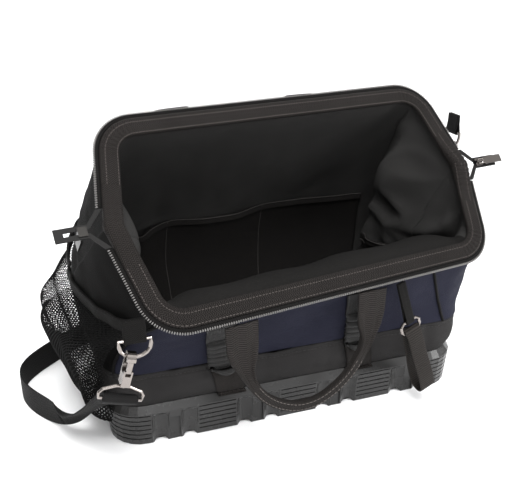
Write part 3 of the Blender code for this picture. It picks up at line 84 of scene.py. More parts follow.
# Columns of the fabric grids: a whole wall's, a gusset's at the hinge line, and where a half's wall starts
WALL_COLUMNS = 97
HINGE_COLUMN = 34
WALL_START = HINGE_COLUMN + 1


# Points

def mouth(side, along, reach, rise=0.0):
    """Points on a frame's half of the mouth, as an array."""
    along, reach, rise = np.broadcast_arrays(along, reach, rise)
    y = side * math.cos(TILT) * reach - math.sin(TILT) * rise
    z = side * math.sin(TILT) * reach + math.cos(TILT) * rise
    c, s = math.cos(YAW), math.sin(YAW)
    return np.stack([HINGE[0] + c * along - s * y, HINGE[1] + s * along + c * y, HINGE[2] + z], -1)


def turned(x, y, z):
    """A direction of the mouth's own frame, in the bag's."""
    c, s = math.cos(YAW), math.sin(YAW)
    return np.array([c * x - s * y, s * x + c * y, z])


BAR = turned(1, 0, 0)
INWARD = turned(0, 1, 0)
MOUTH_UP = turned(0, -math.sin(TILT), math.cos(TILT))


def unit(v):
    v = np.asarray(v, float)
    return v / np.maximum(np.linalg.norm(v, axis=-1, keepdims=True), 1e-12)


def square_to(v, axis):
    """The part of v at right angles to an axis, one unit long."""
    return unit(v - axis * (v @ axis))


def lengths_of(path):
    """Length along a path up to each of its points."""
    return np.concatenate([[0.0], np.cumsum(np.linalg.norm(np.diff(path, axis=0), axis=1))])


def between(at, keys, path):
    """Points of a path at values among the growing keys of its points."""
    return np.stack([np.interp(at, keys, path[:, k]) for k in range(path.shape[1])], -1)


def at_shares(path, shares):
    """Points at shares of a polyline's length."""
    d = lengths_of(path)
    return between(np.asarray(shares) * d[-1], d, path)


def hermite(t):
    """Weights of a cubic's first point and slope, and of its second point and slope."""
    return 2 * t**3 - 3 * t**2 + 1, t**3 - 2 * t**2 + t, -2 * t**3 + 3 * t**2, t**3 - t**2


def curve(points, count):
    """Smooth path through points, with count points evenly along it."""
    p = np.asarray(points, float)
    d = lengths_of(p)
    fine = np.linspace(0, d[-1], max(count * 6, 200))
    slopes = np.gradient(p, d, axis=0)
    i = np.clip(np.searchsorted(d, fine, side="right") - 1, 0, len(d) - 2)
    h = (d[i + 1] - d[i])[:, None]
    w = hermite((fine - d[i])[:, None] / h)
    q = w[0] * p[i] + w[1] * h * slopes[i] + w[2] * p[i + 1] + w[3] * h * slopes[i + 1]
    return at_shares(q, np.linspace(0, 1, count))


def fillet(points, radius, steps):
    """Open plane path with each inner corner rounded."""
    path = [points[0]]
    for before, corner, after in zip(points, points[1:], points[2:]):
        a, b = unit(before - corner), unit(after - corner)
        half = math.acos(float(a @ b)) / 2
        start = corner + a * (radius / math.tan(half))
        end = corner + b * (radius / math.tan(half))
        centre = corner + unit(a + b) * (radius / math.sin(half))
        first, last = start - centre, end - centre
        turn = math.acos(float(unit(first) @ unit(last)))
        for k in range(steps + 1):
            t = k / steps
            spoke = first * math.sin((1 - t) * turn) + last * math.sin(t * turn)
            path.append(centre + spoke / math.sin(turn))
    path.append(points[-1])
    return np.array(path)


SLOPE = (HALF_HINGE - HALF_CORNER) / FRAME_REACH


def arm_at(reach, inset):
    """How far from the middle a frame's arm is at a reach."""
    return HALF_HINGE - SLOPE * reach - inset * math.sqrt(1 + SLOPE**2)


def frame_outline(inset, start, steps=20):
    """Path of a frame from one hinge to the other, as along and reach."""
    reach = FRAME_REACH - inset
    corner, end = arm_at(reach, inset), arm_at(start, inset)
    points = np.array([[-end, start], [-corner, reach], [corner, reach], [end, start]])
    return fillet(points, MOUTH_RADIUS - inset, steps)


def base_corners(inset, z, grow):
    """The base's four corner arcs: front right, back right, back left, front left."""
    half_x, half_y = HALF_LENGTH - inset + grow, HALF_DEPTH - inset + grow
    radius = CORNER_RADIUS - inset + grow
    arcs = []
    for sx, sy, start in ((1, -1, -90), (1, 1, 0), (-1, 1, 90), (-1, -1, 180)):
        a = np.radians(start + np.linspace(0, 90, 13))
        x = sx * (half_x - radius) + radius * np.cos(a)
        y = sy * (half_y - radius) + radius * np.sin(a)
        arcs.append(np.stack([x, y, np.full_like(a, z)], -1))
    return arcs


WALLS = ("front", "right", "back", "left")
WALL_OUT = {"front": -Y, "right": X, "back": Y, "left": -X}
BELLY = {"front": WALL_BELLY, "right": END_BELLY, "back": BACK_BELLY, "left": END_BELLY}


def wall_low(inset, z, grow=0.0):
    """Lower edge of each wall, between the middles of the base's corners."""
    corners = base_corners(inset, z, grow)
    h = len(corners[0]) // 2
    pairs = zip(WALLS, corners[-1:] + corners[:-1], corners)
    return {wall: np.concatenate([before[h:], after[:h + 1]]) for wall, before, after in pairs}


def wall_high(inset, rise):
    """Upper edge of each wall, between the middles of the frames' corners."""
    arc = 6
    front, back = (mouth(s, *frame_outline(inset, 0.0, arc).T, rise) for s in (FRONT, BACK))
    a = 1 + arc // 2
    b = len(front) - 1 - a
    return {"front": front[a:b + 1], "back": back[a:b + 1][::-1],
            "right": np.concatenate([front[b:], back[b:-1][::-1]]),
            "left": np.concatenate([back[:a + 1][::-1], front[1:a + 1]])}


def gusset_columns(wall):
    """Shares across a gusset, with as many columns before the hinge line as after it."""
    path = wall_high(WALL_TUCK, 0.0)[wall]
    place = mouth(BACK, (1 if wall == "right" else -1) * arm_at(0.0, WALL_TUCK), 0.0)
    d = lengths_of(path)
    hinge = d[np.argmin(np.linalg.norm(path - place, axis=1))] / d[-1]
    count = HINGE_COLUMN + 1
    return np.concatenate([np.linspace(0, hinge, count), np.linspace(hinge, 1, count)[1:]])


COLUMNS = {wall: np.linspace(0, 1, WALL_COLUMNS) for wall in ("front", "back")}
COLUMNS.update({wall: gusset_columns(wall) for wall in ("right", "left")})


def soft_waves(p, scale, seed, count=16):
    """Smooth random field over points: a sum of seeded waves."""
    rng = np.random.default_rng(seed)
    k = rng.normal(size=(count, 3)) * (2 * math.pi / scale)
    phase = rng.uniform(0, 2 * math.pi, count)
    return np.sin(p @ k.T + phase).sum(-1) / math.sqrt(count)


def bump(x, centre, width):
    return np.exp(-(((x - centre) / width) ** 2))


def ramp(x, low, high):
    """Smooth step from 0 at low to 1 at high."""
    t = np.clip((x - low) / (high - low), 0, 1)
    return t * t * (3 - 2 * t)


def wall_grid(wall, t):
    """Outside of a slack wall: rows at shares t of its height, columns round the bag."""
    s = COLUMNS[wall]
    a = at_shares(wall_low(0.0, BAND_TOP + GAP, BAND_BULGE)[wall], s)[None]
    b = at_shares(wall_high(WALL_TUCK, -(SLEEVE_THICKNESS / 2 + SEAM_DROP))[wall], s)[None]
    t = np.asarray(t)[:, None, None]
    stand = a + Z * (b[..., 2:] - a[..., 2:]) * 0.35
    p = a * (1 - t) ** 2 + stand * (2 * t * (1 - t)) + b * t**2
    swell = np.minimum(1.0, 1.6 * np.sin(math.pi * s))[None, :, None]
    return p + WALL_OUT[wall] * (BELLY[wall] * swell * np.sin(math.pi * t))


def normals_of(p, closed=False):
    if closed:
        du = np.roll(p, -1, 1) - np.roll(p, 1, 1)
    else:
        du = np.gradient(p, axis=1)
    return unit(np.cross(du, np.gradient(p, axis=0)))


# Meshes

def build(name, verts, faces, finish, uv=None):
    """A smooth mesh object from points and faces, with face-corner UVs in metres."""
    mesh = bpy.data.meshes.new(name)
    mesh.from_pydata([tuple(v) for v in verts], [], [tuple(int(i) for i in f) for f in faces])
    mesh.update()
    uv = np.zeros((len(verts), 2)) if uv is None else uv
    layer = mesh.uv_layers.new(name="UVMap")
    loops = np.array([l.vertex_index for l in mesh.loops])
    layer.data.foreach_set("uv", np.asarray(uv, np.float32)[loops].ravel())
    mesh.shade_smooth()
    mesh.materials.append(finish)
    obj = bpy.data.objects.new(name, mesh)
    bpy.context.scene.collection.objects.link(obj)
    return obj


def quads(rows, cols, start=0, closed=False, flip=False):
    """Faces between the points of a grid."""
    r = np.arange(rows - 1)[:, None]
    c = np.arange(cols if closed else cols - 1)[None]
    a = start + r * cols + c
    b = start + r * cols + (c + 1) % cols
    q = np.stack([a, b, b + cols, a + cols], -1).reshape(-1, 4)
    return q[:, ::-1] if flip else q


def grid_uv(p):
    """Distances across and along a grid, averaged so that the weave stays even."""
    du = np.linalg.norm(np.diff(p, axis=1), axis=2).mean(0)
    dv = np.linalg.norm(np.diff(p, axis=0), axis=2).mean(1)
    u = np.concatenate([[0], np.cumsum(du)])
    v = np.concatenate([[0], np.cumsum(dv)])
    return np.stack(np.meshgrid(u, v), -1)


def cloth(name, p, thick, finish, closed=False):
    """A sheet with two faces from a grid whose given face is outside."""
    rows, cols = p.shape[:2]
    inner = p - normals_of(p, closed) * thick
    verts = np.concatenate([p.reshape(-1, 3), inner.reshape(-1, 3)])
    size = rows * cols
    faces = [quads(rows, cols, 0, closed), quads(rows, cols, size, closed, True)]
    first, last = list(range(cols)), list(range((rows - 1) * cols, size))[::-1]
    if closed:
        edges = [first, last]
    else:
        right = [(r + 1) * cols - 1 for r in range(1, rows - 1)]
        left = [r * cols for r in range(rows - 2, 0, -1)]
        edges = [first + right + last + left]
    for edge in edges:
        faces.append([(b, a, a + size, b + size) for a, b in zip(edge, edge[1:] + edge[:1])])
    uv = grid_uv(p).reshape(-1, 2)
    return build(name, verts, np.concatenate(faces), finish, np.concatenate([uv, uv]))


def sweep(name, path, ups, section, finish, closed=False):
    """A section swept along a path. section is an array, or one array for each station, of across and up."""
    n = len(path)
    ups = np.broadcast_to(np.asarray(ups, float), path.shape)
    tangent = unit(np.roll(path, -1, 0) - np.roll(path, 1, 0)) if closed else unit(np.gradient(path, axis=0))
    across = unit(np.cross(tangent, ups))
    up = unit(np.cross(across, tangent))
    if section.ndim == 2:
        section = np.broadcast_to(section, (n,) + section.shape)
    p = path[:, None] + across[:, None] * section[..., :1] + up[:, None] * section[..., 1:]
    k = p.shape[1]
    u = np.broadcast_to(lengths_of(section[n // 2]), (n, k))
    v = np.broadcast_to(lengths_of(path)[:, None], (n, k))
    faces = quads(n, k, 0, True)
    if closed:
        here = np.arange(k)
        after = (here + 1) % k
        seam = np.stack([(n - 1) * k + here, (n - 1) * k + after, after, here], -1)
        faces = np.concatenate([faces, seam])
    faces = [list(f) for f in faces]
    if not closed:
        faces += [list(range(k))[::-1], list(range((n - 1) * k, n * k))]
    return build(name, p.reshape(-1, 3), faces, finish, np.stack([u, v], -1).reshape(-1, 2))


def circle(radius, sides):
    a = np.linspace(0, 2 * math.pi, sides, endpoint=False)
    return np.stack([np.cos(a), np.sin(a)], -1) * radius


def oval(width, thick, sides, squareness):
    """Rounded flat section."""
    c, s = circle(1.0, sides).T
    across = width / 2 * np.sign(c) * np.abs(c) ** squareness
    up = thick / 2 * np.sign(s) * np.abs(s) ** squareness
    return np.stack([across, up], -1)


def add_rings(verts, faces, rings):
    """A small solid through rings of points, closed at both ends."""
    start, sides = len(verts), len(rings[0])
    for ring in rings:
        verts.extend(ring)
    faces.extend(quads(len(rings), sides, start, True).tolist())
    faces.append(list(range(start, start + sides))[::-1])
    faces.append(list(range(len(verts) - sides, len(verts))))


def add_bar(verts, faces, a, b, radius, sides=5):
    """A short thread from a to b."""
    way = unit(b - a)
    side_way = unit(np.cross(way, (0.31, 0.52, 0.80)))
    spokes = circle(radius, sides) @ np.array([side_way, np.cross(way, side_way)])
    add_rings(verts, faces, (a + spokes, b + spokes))


def stitches(name, line, finish, step, long):
    """A row of stitches along a line."""
    verts, faces = [], []
    d = lengths_of(line)
    for start in np.arange(0.001, d[-1] - long, step):
        add_bar(verts, faces, *between([start, start + long], d, line), 0.00042)
    return build(name, verts, faces, finish)


def settle(obj, body, slot, *nodes):
    """What a piece moves with and the nodes that it stands for, which are hidden; slot is not used."""
    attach(obj, body)
    if nodes:
        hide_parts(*nodes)


# Materials

class Net:
    """Short way to write node sums."""

    def __init__(self, name, color, roughness, metallic=0.0, sheen=0.0, gloss=0.5):
        self.material = bpy.data.materials.new(name)
        self.material.use_nodes = True
        self.tree = self.material.node_tree
        self.shader = self.tree.nodes["Principled BSDF"]
        for key, value in (("Base Color", (*color, 1)), ("Roughness", roughness), ("Metallic", metallic),
                           ("Sheen Weight", sheen), ("Sheen Roughness", 0.5), ("Specular IOR Level", gloss)):
            self.shader.inputs[key].default_value = value

    def new(self, kind, **inputs):
        node = self.tree.nodes.new(kind)
        for key, value in inputs.items():
            self.put(node.inputs[key], value)
        return node

    def put(self, socket, value):
        if isinstance(value, Term):
            value = value.socket
        if isinstance(value, bpy.types.NodeSocket):
            self.tree.links.new(value, socket)
        else:
            socket.default_value = value

    def math(self, operation, *values):
        node = self.tree.nodes.new("ShaderNodeMath")
        node.operation = operation
        for socket, value in zip(node.inputs, values):
            self.put(socket, value)
        return Term(self, node.outputs[0])

    def uv(self):
        node = self.new("ShaderNodeUVMap")
        node.uv_map = "UVMap"
        split = self.new("ShaderNodeSeparateXYZ", Vector=node.outputs[0])
        return Term(self, split.outputs[0]), Term(self, split.outputs[1])

    def noise(self, scale, detail=3.0, rough=0.5):
        place = self.new("ShaderNodeTexCoord").outputs["Object"]
        node = self.new("ShaderNodeTexNoise", Vector=place, Scale=scale, Detail=detail, Roughness=rough)
        return Term(self, node.outputs["Fac"])

    def mix(self, share, low, high):
        node = self.tree.nodes.new("ShaderNodeMix")
        node.data_type = "RGBA"
        self.put(node.inputs[0], share)
        for socket, value in ((node.inputs[6], low), (node.inputs[7], high)):
            self.put(socket, (*value, 1) if isinstance(value, tuple) else value)
        return node.outputs[2]

    def done(self, color, height, distance, strength=1.0, roughness=None):
        """The material, with its colour, its bumps and, where given, its roughness linked."""
        self.put(self.shader.inputs["Base Color"], color)
        if roughness is not None:
            self.put(self.shader.inputs["Roughness"], roughness)
        node = self.new("ShaderNodeBump", Height=height, Distance=distance, Strength=strength)
        self.tree.links.new(node.outputs[0], self.shader.inputs["Normal"])
        return self.material


class Term:
    """A socket that can be added, multiplied and so on."""

    def __init__(self, net, socket):
        self.net, self.socket = net, socket

    def __add__(self, o):
        return self.net.math("ADD", self, o)

    def __sub__(self, o):
        return self.net.math("SUBTRACT", self, o)

    def __mul__(self, o):
        return self.net.math("MULTIPLY", self, o)

    def __truediv__(self, o):
        return self.net.math("DIVIDE", self, o)

    def of(self, operation, *more):
        return self.net.math(operation, self, *more)

    def clamped(self):
        return self.of("MINIMUM", 1.0).of("MAXIMUM", 0.0)

    def stripes(self, pitch):
        """Soft stripes between 0 and 1."""
        return (self * (2 * math.pi / pitch)).of("SINE") * 0.5 + 0.5


FABRIC_SHEEN = 0.006
CANVAS_THREAD = 0.0011
STITCH_PITCH, STITCH_SHARE, STITCH_HALF_WIDTH = 0.0034, 0.66, 0.00042


def shade(color, by):
    return tuple(c * by for c in color)


def canvas(name, color, mottle=0.16):
    """Plain woven cloth with uneven threads."""
    net = Net(name, color, 0.7, sheen=FABRIC_SHEEN, gloss=0.04)
    u, v = net.uv()
    k = 2 * math.pi / CANVAS_THREAD
    wobble = net.noise(220.0, 2.0) * 1.6
    weave = (u * k + wobble).of("SINE") * (v * k + wobble).of("SINE")
    grain = net.noise(900.0, 2.0)
    patch = net.noise(14.0, 4.0, 0.6)
    share = (weave * 0.28 + grain * 0.5 + patch * 0.9 - 0.35).clamped()
    tone = net.mix(share, shade(color, 1 - mottle * 2.2), shade(color, 1 + mottle * 1.8))
    return net.done(tone, weave * 0.7 + grain * 0.6 + net.noise(70.0, 3.0) * 1.2, 0.00022)


def webbing(name, color, column=0.0046, pitch=0.0019, light=1.7, distance=0.0004, ribs=0.0, rows=(),
            gloss=0.06, rough=0.6):
    """Herringbone webbing; with ribs, cross ribs of that pitch instead. rows are the places of stitching."""
    net = Net(name, color, rough, sheen=FABRIC_SHEEN, gloss=gloss)
    u, v = net.uv()
    if ribs:
        height = v.stripes(ribs) * 0.85 + u.stripes(CANVAS_THREAD) * 0.15
    else:
        height = (v + u.of("PINGPONG", column / 2)).stripes(pitch)
    grain = net.noise(1200.0, 2.0)
    patch = net.noise(20.0, 3.0)
    share = (height * 0.75 + grain * 0.45 + patch * 0.35 - 0.3).clamped()
    tone = net.mix(share, shade(color, 0.35), shade(color, light))
    height = height + grain * 0.3
    for place in rows:
        near = (u - place).of("ABSOLUTE").of("LESS_THAN", STITCH_HALF_WIDTH)
        mark = near * (v / STITCH_PITCH).of("FRACT").of("LESS_THAN", STITCH_SHARE)
        tone = net.mix(mark, tone, shade(color, light * 2.6))
        height = height - near * 0.9 + mark * 1.6
    return net.done(tone, height, distance)


def metal(name, color, rough):
    net = Net(name, color, rough, metallic=1.0)
    wear = net.noise(260.0, 4.0)
    spots = net.noise(40.0, 3.0)
    tone = net.mix((spots * 1.4 - 0.3).clamped(), shade(color, 0.82), color)
    return net.done(tone, wear, 0.00004, 0.5, spots * 0.1 + rough)


def moulded(name, color, rough, gloss=0.5):
    net = Net(name, color, rough, gloss=gloss)
    grain = net.noise(1500.0, 3.0)
    cloud = net.noise(24.0, 4.0)
    scuff = net.noise(90.0, 5.0, 0.7)
    tone = net.mix(cloud, shade(color, 0.85), shade(color, 1.2))
    dullness = cloud * 0.12 + scuff * 0.08 + rough - 0.08
    return net.done(tone, grain * 0.6 + scuff * 0.5, 0.00010, 0.6, dullness)


NAVY = canvas("navy_canvas", (0.0165, 0.0172, 0.0290), 0.14)
BLACK = canvas("black_canvas", (0.0034, 0.0032, 0.0031), 0.12)
BAND = canvas("band_canvas", (0.0235, 0.0225, 0.0225), 0.12)
# The lining's colour, made lighter as painted light on its shaded walls; the front wall takes a darker copy
LINING = canvas("lining_canvas", (0.0300, 0.0292, 0.0285), 0.08)
# Darker copy of the lining's colour for the front wall and its fold: painted shade
SHADED_LINING = canvas("front_lining_painted_shade", (0.0105, 0.0100, 0.0096), 0.10)
POCKET = canvas("pocket_canvas", (0.0120, 0.0111, 0.0107), 0.08)
THREAD = canvas("sewing_thread", (0.040, 0.038, 0.038))
HEM = canvas("hem_thread", (0.050, 0.047, 0.045))
PALE_THREAD = canvas("pale_thread", (0.10, 0.090, 0.084))
NETTING = canvas("netting", (0.0055, 0.0054, 0.0054))
HERRING = webbing("herringbone_webbing", (0.0105, 0.0092, 0.0086), pitch=0.0022, light=2.6, distance=0.0007)
RIM = webbing("rim_webbing", (0.0088, 0.0077, 0.0072), pitch=0.0022, light=2.8, distance=0.0007,
              rows=(0.0036, 0.0150))
BLACK_WEB = webbing("black_webbing", (0.0050, 0.0047, 0.0045), light=1.8)
PLEAT = webbing("pleated_webbing", (0.0040, 0.0037, 0.0035), column=0.003, pitch=0.0014, light=1.5,
                distance=0.0002, gloss=0.22, rough=0.34)
STRAP_WEB = webbing("strap_webbing", (0.0095, 0.0092, 0.0092), column=0.004, pitch=0.0017, light=1.5)
RIBBED = webbing("ribbed_webbing", (0.0165, 0.0145, 0.0132), ribs=0.0027)
NICKEL = metal("nickel", (0.27, 0.245, 0.23), 0.17)
GUNMETAL = metal("gunmetal", (0.115, 0.105, 0.098), 0.26)
DARK_METAL = metal("dark_metal", (0.022, 0.021, 0.020), 0.3)
STEEL = metal("frame_steel", (0.30, 0.30, 0.31), 0.38)
PLASTIC = moulded("moulded_base", (0.0165, 0.0162, 0.0160), 0.25, 0.36)
BOARD = moulded("board", (0.022, 0.021, 0.020), 0.7, 0.2)
COIL = moulded("zip_coil", (0.115, 0.110, 0.106), 0.28)
RUBBER = moulded("rubber", (0.0080, 0.0077, 0.0075), 0.5, 0.10)

for finish, nodes in (
        (PLASTIC, "base_tray"), (BOARD, "base_board"), (RUBBER, "left_zip_end right_zip_end"),
        (STEEL, "front_frame back_frame left_hinge_rivet right_hinge_rivet"),
        (NICKEL, "front_ring front_hook_body front_hook_gate front_strap_eye tool_loop_ring"),
        (NICKEL, "back_ring back_hook_body back_hook_gate back_strap_eye"),
        (DARK_METAL, "left_slider left_pull"), (GUNMETAL, "right_slider right_pull")):
    for node in nodes.split():
        slots = PARTS[node].data.materials
        for i in range(len(slots)):
            slots[i] = finish


# Band round the tray's top

BAND_SEAM = 0.0845


def band_outset(z):
    """How far the band stands out from the base's outline at a height."""
    share = np.clip((z - BASE_HEIGHT) / (BAND_TOP - BASE_HEIGHT), 0, 1)
    swell = np.sin(np.minimum(1.0, share * 1.6) * math.pi / 2)
    return -(SHOULDER_INSET + GAP) + (SHOULDER_INSET + BAND_BULGE) * swell


def ring_row(z, grow):
    """One level round the base outline, in the columns of the walls, as a closed row."""
    low = wall_low(0.0, z, grow)
    return np.concatenate([at_shares(low[w], COLUMNS[w])[:-1] for w in WALLS])


def lower_band():
    """The band, smooth at its foot and puckered below the seam near its top, and the seam's stitches."""
    levels = np.linspace(BASE_HEIGHT + GAP, BAND_TOP, 30)
    p = np.stack([ring_row(z, band_outset(z)) for z in levels])
    n = normals_of(p, True)
    slack = ramp(levels, 0.046, 0.056)[:, None]
    top = ramp(levels, 0.078, 0.086)[:, None] * (1 - ramp(levels, 0.0885, 0.090))[:, None]
    wave = soft_waves(p * (1, 1, 0.5), 0.05, 3, 24) * 0.0007 + soft_waves(p, 0.12, 4) * 0.0012
    pucker = top * soft_waves(p * (1, 1, 0.1), 0.016, 5, 24) * 0.0005
    groove = -0.0011 * bump(levels, BAND_SEAM, 0.0012)[:, None]
    p = p + n * (slack * (wave + pucker + groove) + top * 0.0006)[..., None]
    settle(cloth("band_cloth", p, 0.002, BAND, True), "bag_body", "band_cloth", "lower_band")
    row = int(np.argmin(np.abs(levels - BAND_SEAM)))
    line = p[row] + n[row] * 0.0001
    seam = stitches("band_stitches", np.concatenate([line, line[:1]]), THREAD, 0.0044, 0.0029)
    settle(seam, "bag_body", "band_cloth")


lower_band()


# Fabric walls

# Rows of the walls' grids as shares of their height, closer near the rim
T_ROWS = np.concatenate([np.linspace(0, 0.82, 40), np.linspace(0.82, 1, 19)[1:]])
HALVES = {FRONT: ("left", "front", "right"), BACK: ("right", "back", "left")}
# From the hinge line to where the fabric turns wholly with the frame
BLEND_REACH = {FRONT: turned(0, -0.97, 0.243) * 0.050, BACK: turned(0, 0.50, 0.866) * 0.105}
LEFT_SLACK = 0.0145


def split(grids, side):
    """Joins the wall grids of one half of the bag, split at the hinge line with a column's overlap."""
    first, middle, last = (grids[wall] for wall in HALVES[side])
    parts = [first[:, HINGE_COLUMN - 1:-1], middle[:, :-1], last[:, :HINGE_COLUMN + 2]]
    return np.concatenate(parts, 1)


def blend_mouth(obj):
    """Fabric between bag and frame, with its place baked into its mesh."""
    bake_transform(obj)


def wrinkled(p, seed):
    n = normals_of(p)
    edge = np.sin(math.pi * T_ROWS)[:, None] ** 0.7
    big = soft_waves(p * (1, 1, 0.6), 0.13, seed) * 0.0020
    small = soft_waves(p * (0.6, 1, 1), 0.04, seed + 1) * 0.0006
    return p + n * ((big + small) * edge)[..., None]


OUTER = {w: wall_grid(w, T_ROWS) for w in WALLS}
PLAIN_LEFT = OUTER["left"]
sag = LEFT_SLACK * np.sin(math.pi * T_ROWS**0.9)[:, None] * np.sin(math.pi * COLUMNS["left"])[None] ** 0.7
OUTER["left"] = PLAIN_LEFT - sag[..., None] * X
SHELL = {side: wrinkled(split(OUTER, side), seed) for side, seed in ((FRONT, 11), (BACK, 21))}

for side, name, grid, finish, nodes in (
        (FRONT, "left_gusset_front", SHELL[FRONT][:, :WALL_START + 1], BLACK, ("left_end_panel",)),
        (FRONT, "outer_front", SHELL[FRONT][:, WALL_START:], NAVY, ("front_panel",)),
        (BACK, "outer_back", SHELL[BACK][:, :-WALL_START], NAVY, ("back_panel", "right_end_panel")),
        (BACK, "left_gusset_back", SHELL[BACK][:, -WALL_START - 1:], BLACK, ())):
    obj = cloth(name, grid, 0.0014, finish)
    blend_mouth(obj)
    if nodes:
        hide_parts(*nodes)


def wall_point(row, x):
    """The point of a wall's row at a given x."""
    order = np.argsort(row[:, 0])
    return np.array([x] + [np.interp(x, row[order, 0], row[order, k]) for k in (1, 2)])


def piping(name, points, radius):
    obj = sweep(name, curve(points, 60), (0, -1, 0.2), circle(radius, 8), BLACK_WEB)
    blend_mouth(obj)


front_rows = SHELL[FRONT][:-3:3, WALL_START:WALL_START + WALL_COLUMNS]
right_seam = [wall_point(row, 0.148 + (0.153 - row[:, 2].mean()) * 0.40) for row in front_rows]
piping("right_piping", np.array(right_seam) - Y * 0.0006, 0.0017)
piping("left_piping", front_rows[:, 0] - (X + Y) * 0.0005, 0.0015)


# Lining

LINING_ROWS = 61
LINE_T = np.linspace(0, 1, LINING_ROWS)
# The front lining's fold: shares of its reach inwards and of its fall, from the rim down
LINER_SHARES = ((0.0, 0.0), (0.27, 0.10), (0.65, 0.03), (0.90, -0.17),
                (1.0, -0.42), (0.85, -0.72), (0.46, -1.0))
LINER_FALL = 0.036
# How far the left gusset's slack hangs inwards at heights
HANG = ((0.09, 0.131, 0.153, 0.18, 0.193, 0.208, 0.234, 0.262, 0.30, 0.33),
        (0.0, 0.026, 0.036, 0.045, 0.046, 0.040, 0.031, 0.024, 0.008, 0.0))


def lining_parts(wall):
    """Inside of a wall, from the tray up to the sleeve's inner edge."""
    s = COLUMNS[wall]
    rim_point = at_shares(wall_high(CHAIN_WIDTH + SLEEVE_WIDTH * 0.8, -0.0022)[wall], s)
    grid = wall_grid(wall, np.linspace(0, 1, 12))
    inner = grid - normals_of(grid) * 0.0050
    foot = [at_shares(wall_low(0.0, z, band_outset(z) - 0.0060)[wall], s) for z in (0.060, 0.075)]
    tray = [at_shares(wall_low(0.0152, z)[wall], s) for z in (0.0095, 0.030)]
    return rim_point, inner, np.stack(tray + foot)


def loft_rows(rows):
    """Smooth rows through a few given ones."""
    return np.stack([curve(rows[:, i], LINING_ROWS) for i in range(rows.shape[1])], 1)


def front_lining():
    """Slack lining that folds over inwards below the front rim."""
    s = COLUMNS["front"]
    rim_point, inner, foot = lining_parts("front")
    weight = (ramp(s, -0.12, 0.12) * (1 - 0.6 * ramp(s, 0.94, 1.0)))[:, None]
    reach = 0.053 + 0.006 * ramp(s, 0.3, 0.7) + 0.0025 * np.sin(s * 23)
    rows = [*foot, inner[1], inner[4]]
    for h, z in reversed(LINER_SHARES):
        shelf = rim_point + INWARD * (h * reach)[:, None] + Z * (LINER_FALL * z)
        plain = rim_point + (inner[7] - rim_point) * min(0.94, max(0.0, -z) * 0.9 + h * 0.05)
        rows.append(plain * (1 - weight) + shelf * weight)
    return loft_rows(np.stack(rows))


def plain_lining(wall):
    rim_point, inner, foot = lining_parts(wall)
    return loft_rows(np.concatenate([foot, inner[1:11:2], rim_point[None]]))


def fold_left(g):
    """Slack of the left gusset, which hangs into the bag."""
    hang = np.interp(g[..., 2], *HANG)
    spread = np.exp(-((COLUMNS["left"][None] - 0.44) / 0.26) ** 2)
    g[..., 0] += hang * spread * (1 - ramp(LINE_T, 0.86, 1.0))[:, None]
    crease = np.abs(soft_waves(g * (0.3, 1, 0.8), 0.09, 71)) * 0.005
    g[..., 0] -= crease * np.sin(math.pi * LINE_T)[:, None]
    g += (LIN["front"][:, :1] - g[:, -1:]) * ramp(COLUMNS["left"], 0.66, 1.0)[None, :, None]


def fold_right(g):
    """Slack of the right gusset: a crested shelf under the rim, with a fold at its foot and creases."""
    y, z = g[..., 1], g[..., 2]
    ahead = 0.003 + (0.299 - z) * 0.376 - y
    shape = np.clip(np.where(ahead > 0, 1 - ahead / 0.125, 1 + ahead / 0.032), 0, 1)
    shape = shape * (1 - 0.12 * shape)
    lower = 0.21 - (y + 0.119) * 0.554
    under_rim = (1 - ramp(LINE_T, 0.70, 1.0))[:, None]
    deep = 0.058 * shape * ramp(z, lower - 0.030, lower + 0.002) * under_rim
    fold = 0.010 * bump(z, lower + 0.014 + 0.012 * np.sin(y * 45), 0.010) * ramp(-y, -0.05, 0.02) * under_rim
    crease = np.abs(soft_waves(g * (0.3, 0.8, 1.1), 0.085, 81)) ** 0.8 * 0.0065
    crease = crease * under_rim * ramp(LINE_T, 0.15, 0.4)[:, None]
    g[..., 0] -= np.maximum(deep + fold - crease, -0.0005)
    g += (LIN["front"][:, -1:] - g[:, :1]) * (1 - ramp(COLUMNS["right"], 0.0, 0.3))[None, :, None]


LIN = {"front": front_lining()}
LIN.update({wall: plain_lining(wall) for wall in ("right", "back", "left")})
fold_left(LIN["left"])
fold_right(LIN["right"])

for side in (FRONT, BACK):
    p = split(LIN, side)
    ripple = soft_waves(p, 0.10, 31 + side) * 0.0010 * np.sin(math.pi * LINE_T)[:, None]
    p = p + normals_of(p) * ripple[..., None]
    obj = cloth("lining_" + WORD[side], p, 0.0008, LINING)
    blend_mouth(obj)
    if side == FRONT:
        # The front wall's part of this lining takes the darker copy of the lining: painted shade
        obj.data.materials.append(SHADED_LINING)
        cols = p.shape[1] - 1
        for i, face in enumerate(obj.data.polygons):
            if i < 2 * cols * (len(p) - 1) and WALL_START <= i % cols < WALL_START + WALL_COLUMNS - 1:
                face.material_index = 1
        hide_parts("front_lining")


# Pockets inside


def at_height(grid, heights):
    """Points of each column of a grid at that column's heights, one row for each."""
    columns = []
    for j in range(grid.shape[1]):
        column = grid[np.argsort(grid[:, j, 2]), j]
        columns.append(between(heights[:, j], column[:, 2], column))
    return np.stack(columns, 1)


def below_top(p, drop):
    """Points a fixed distance below the top row, along each column."""
    columns = [p[::-1, j] for j in range(p.shape[1])]
    return np.array([between(drop, lengths_of(column), column) for column in columns])


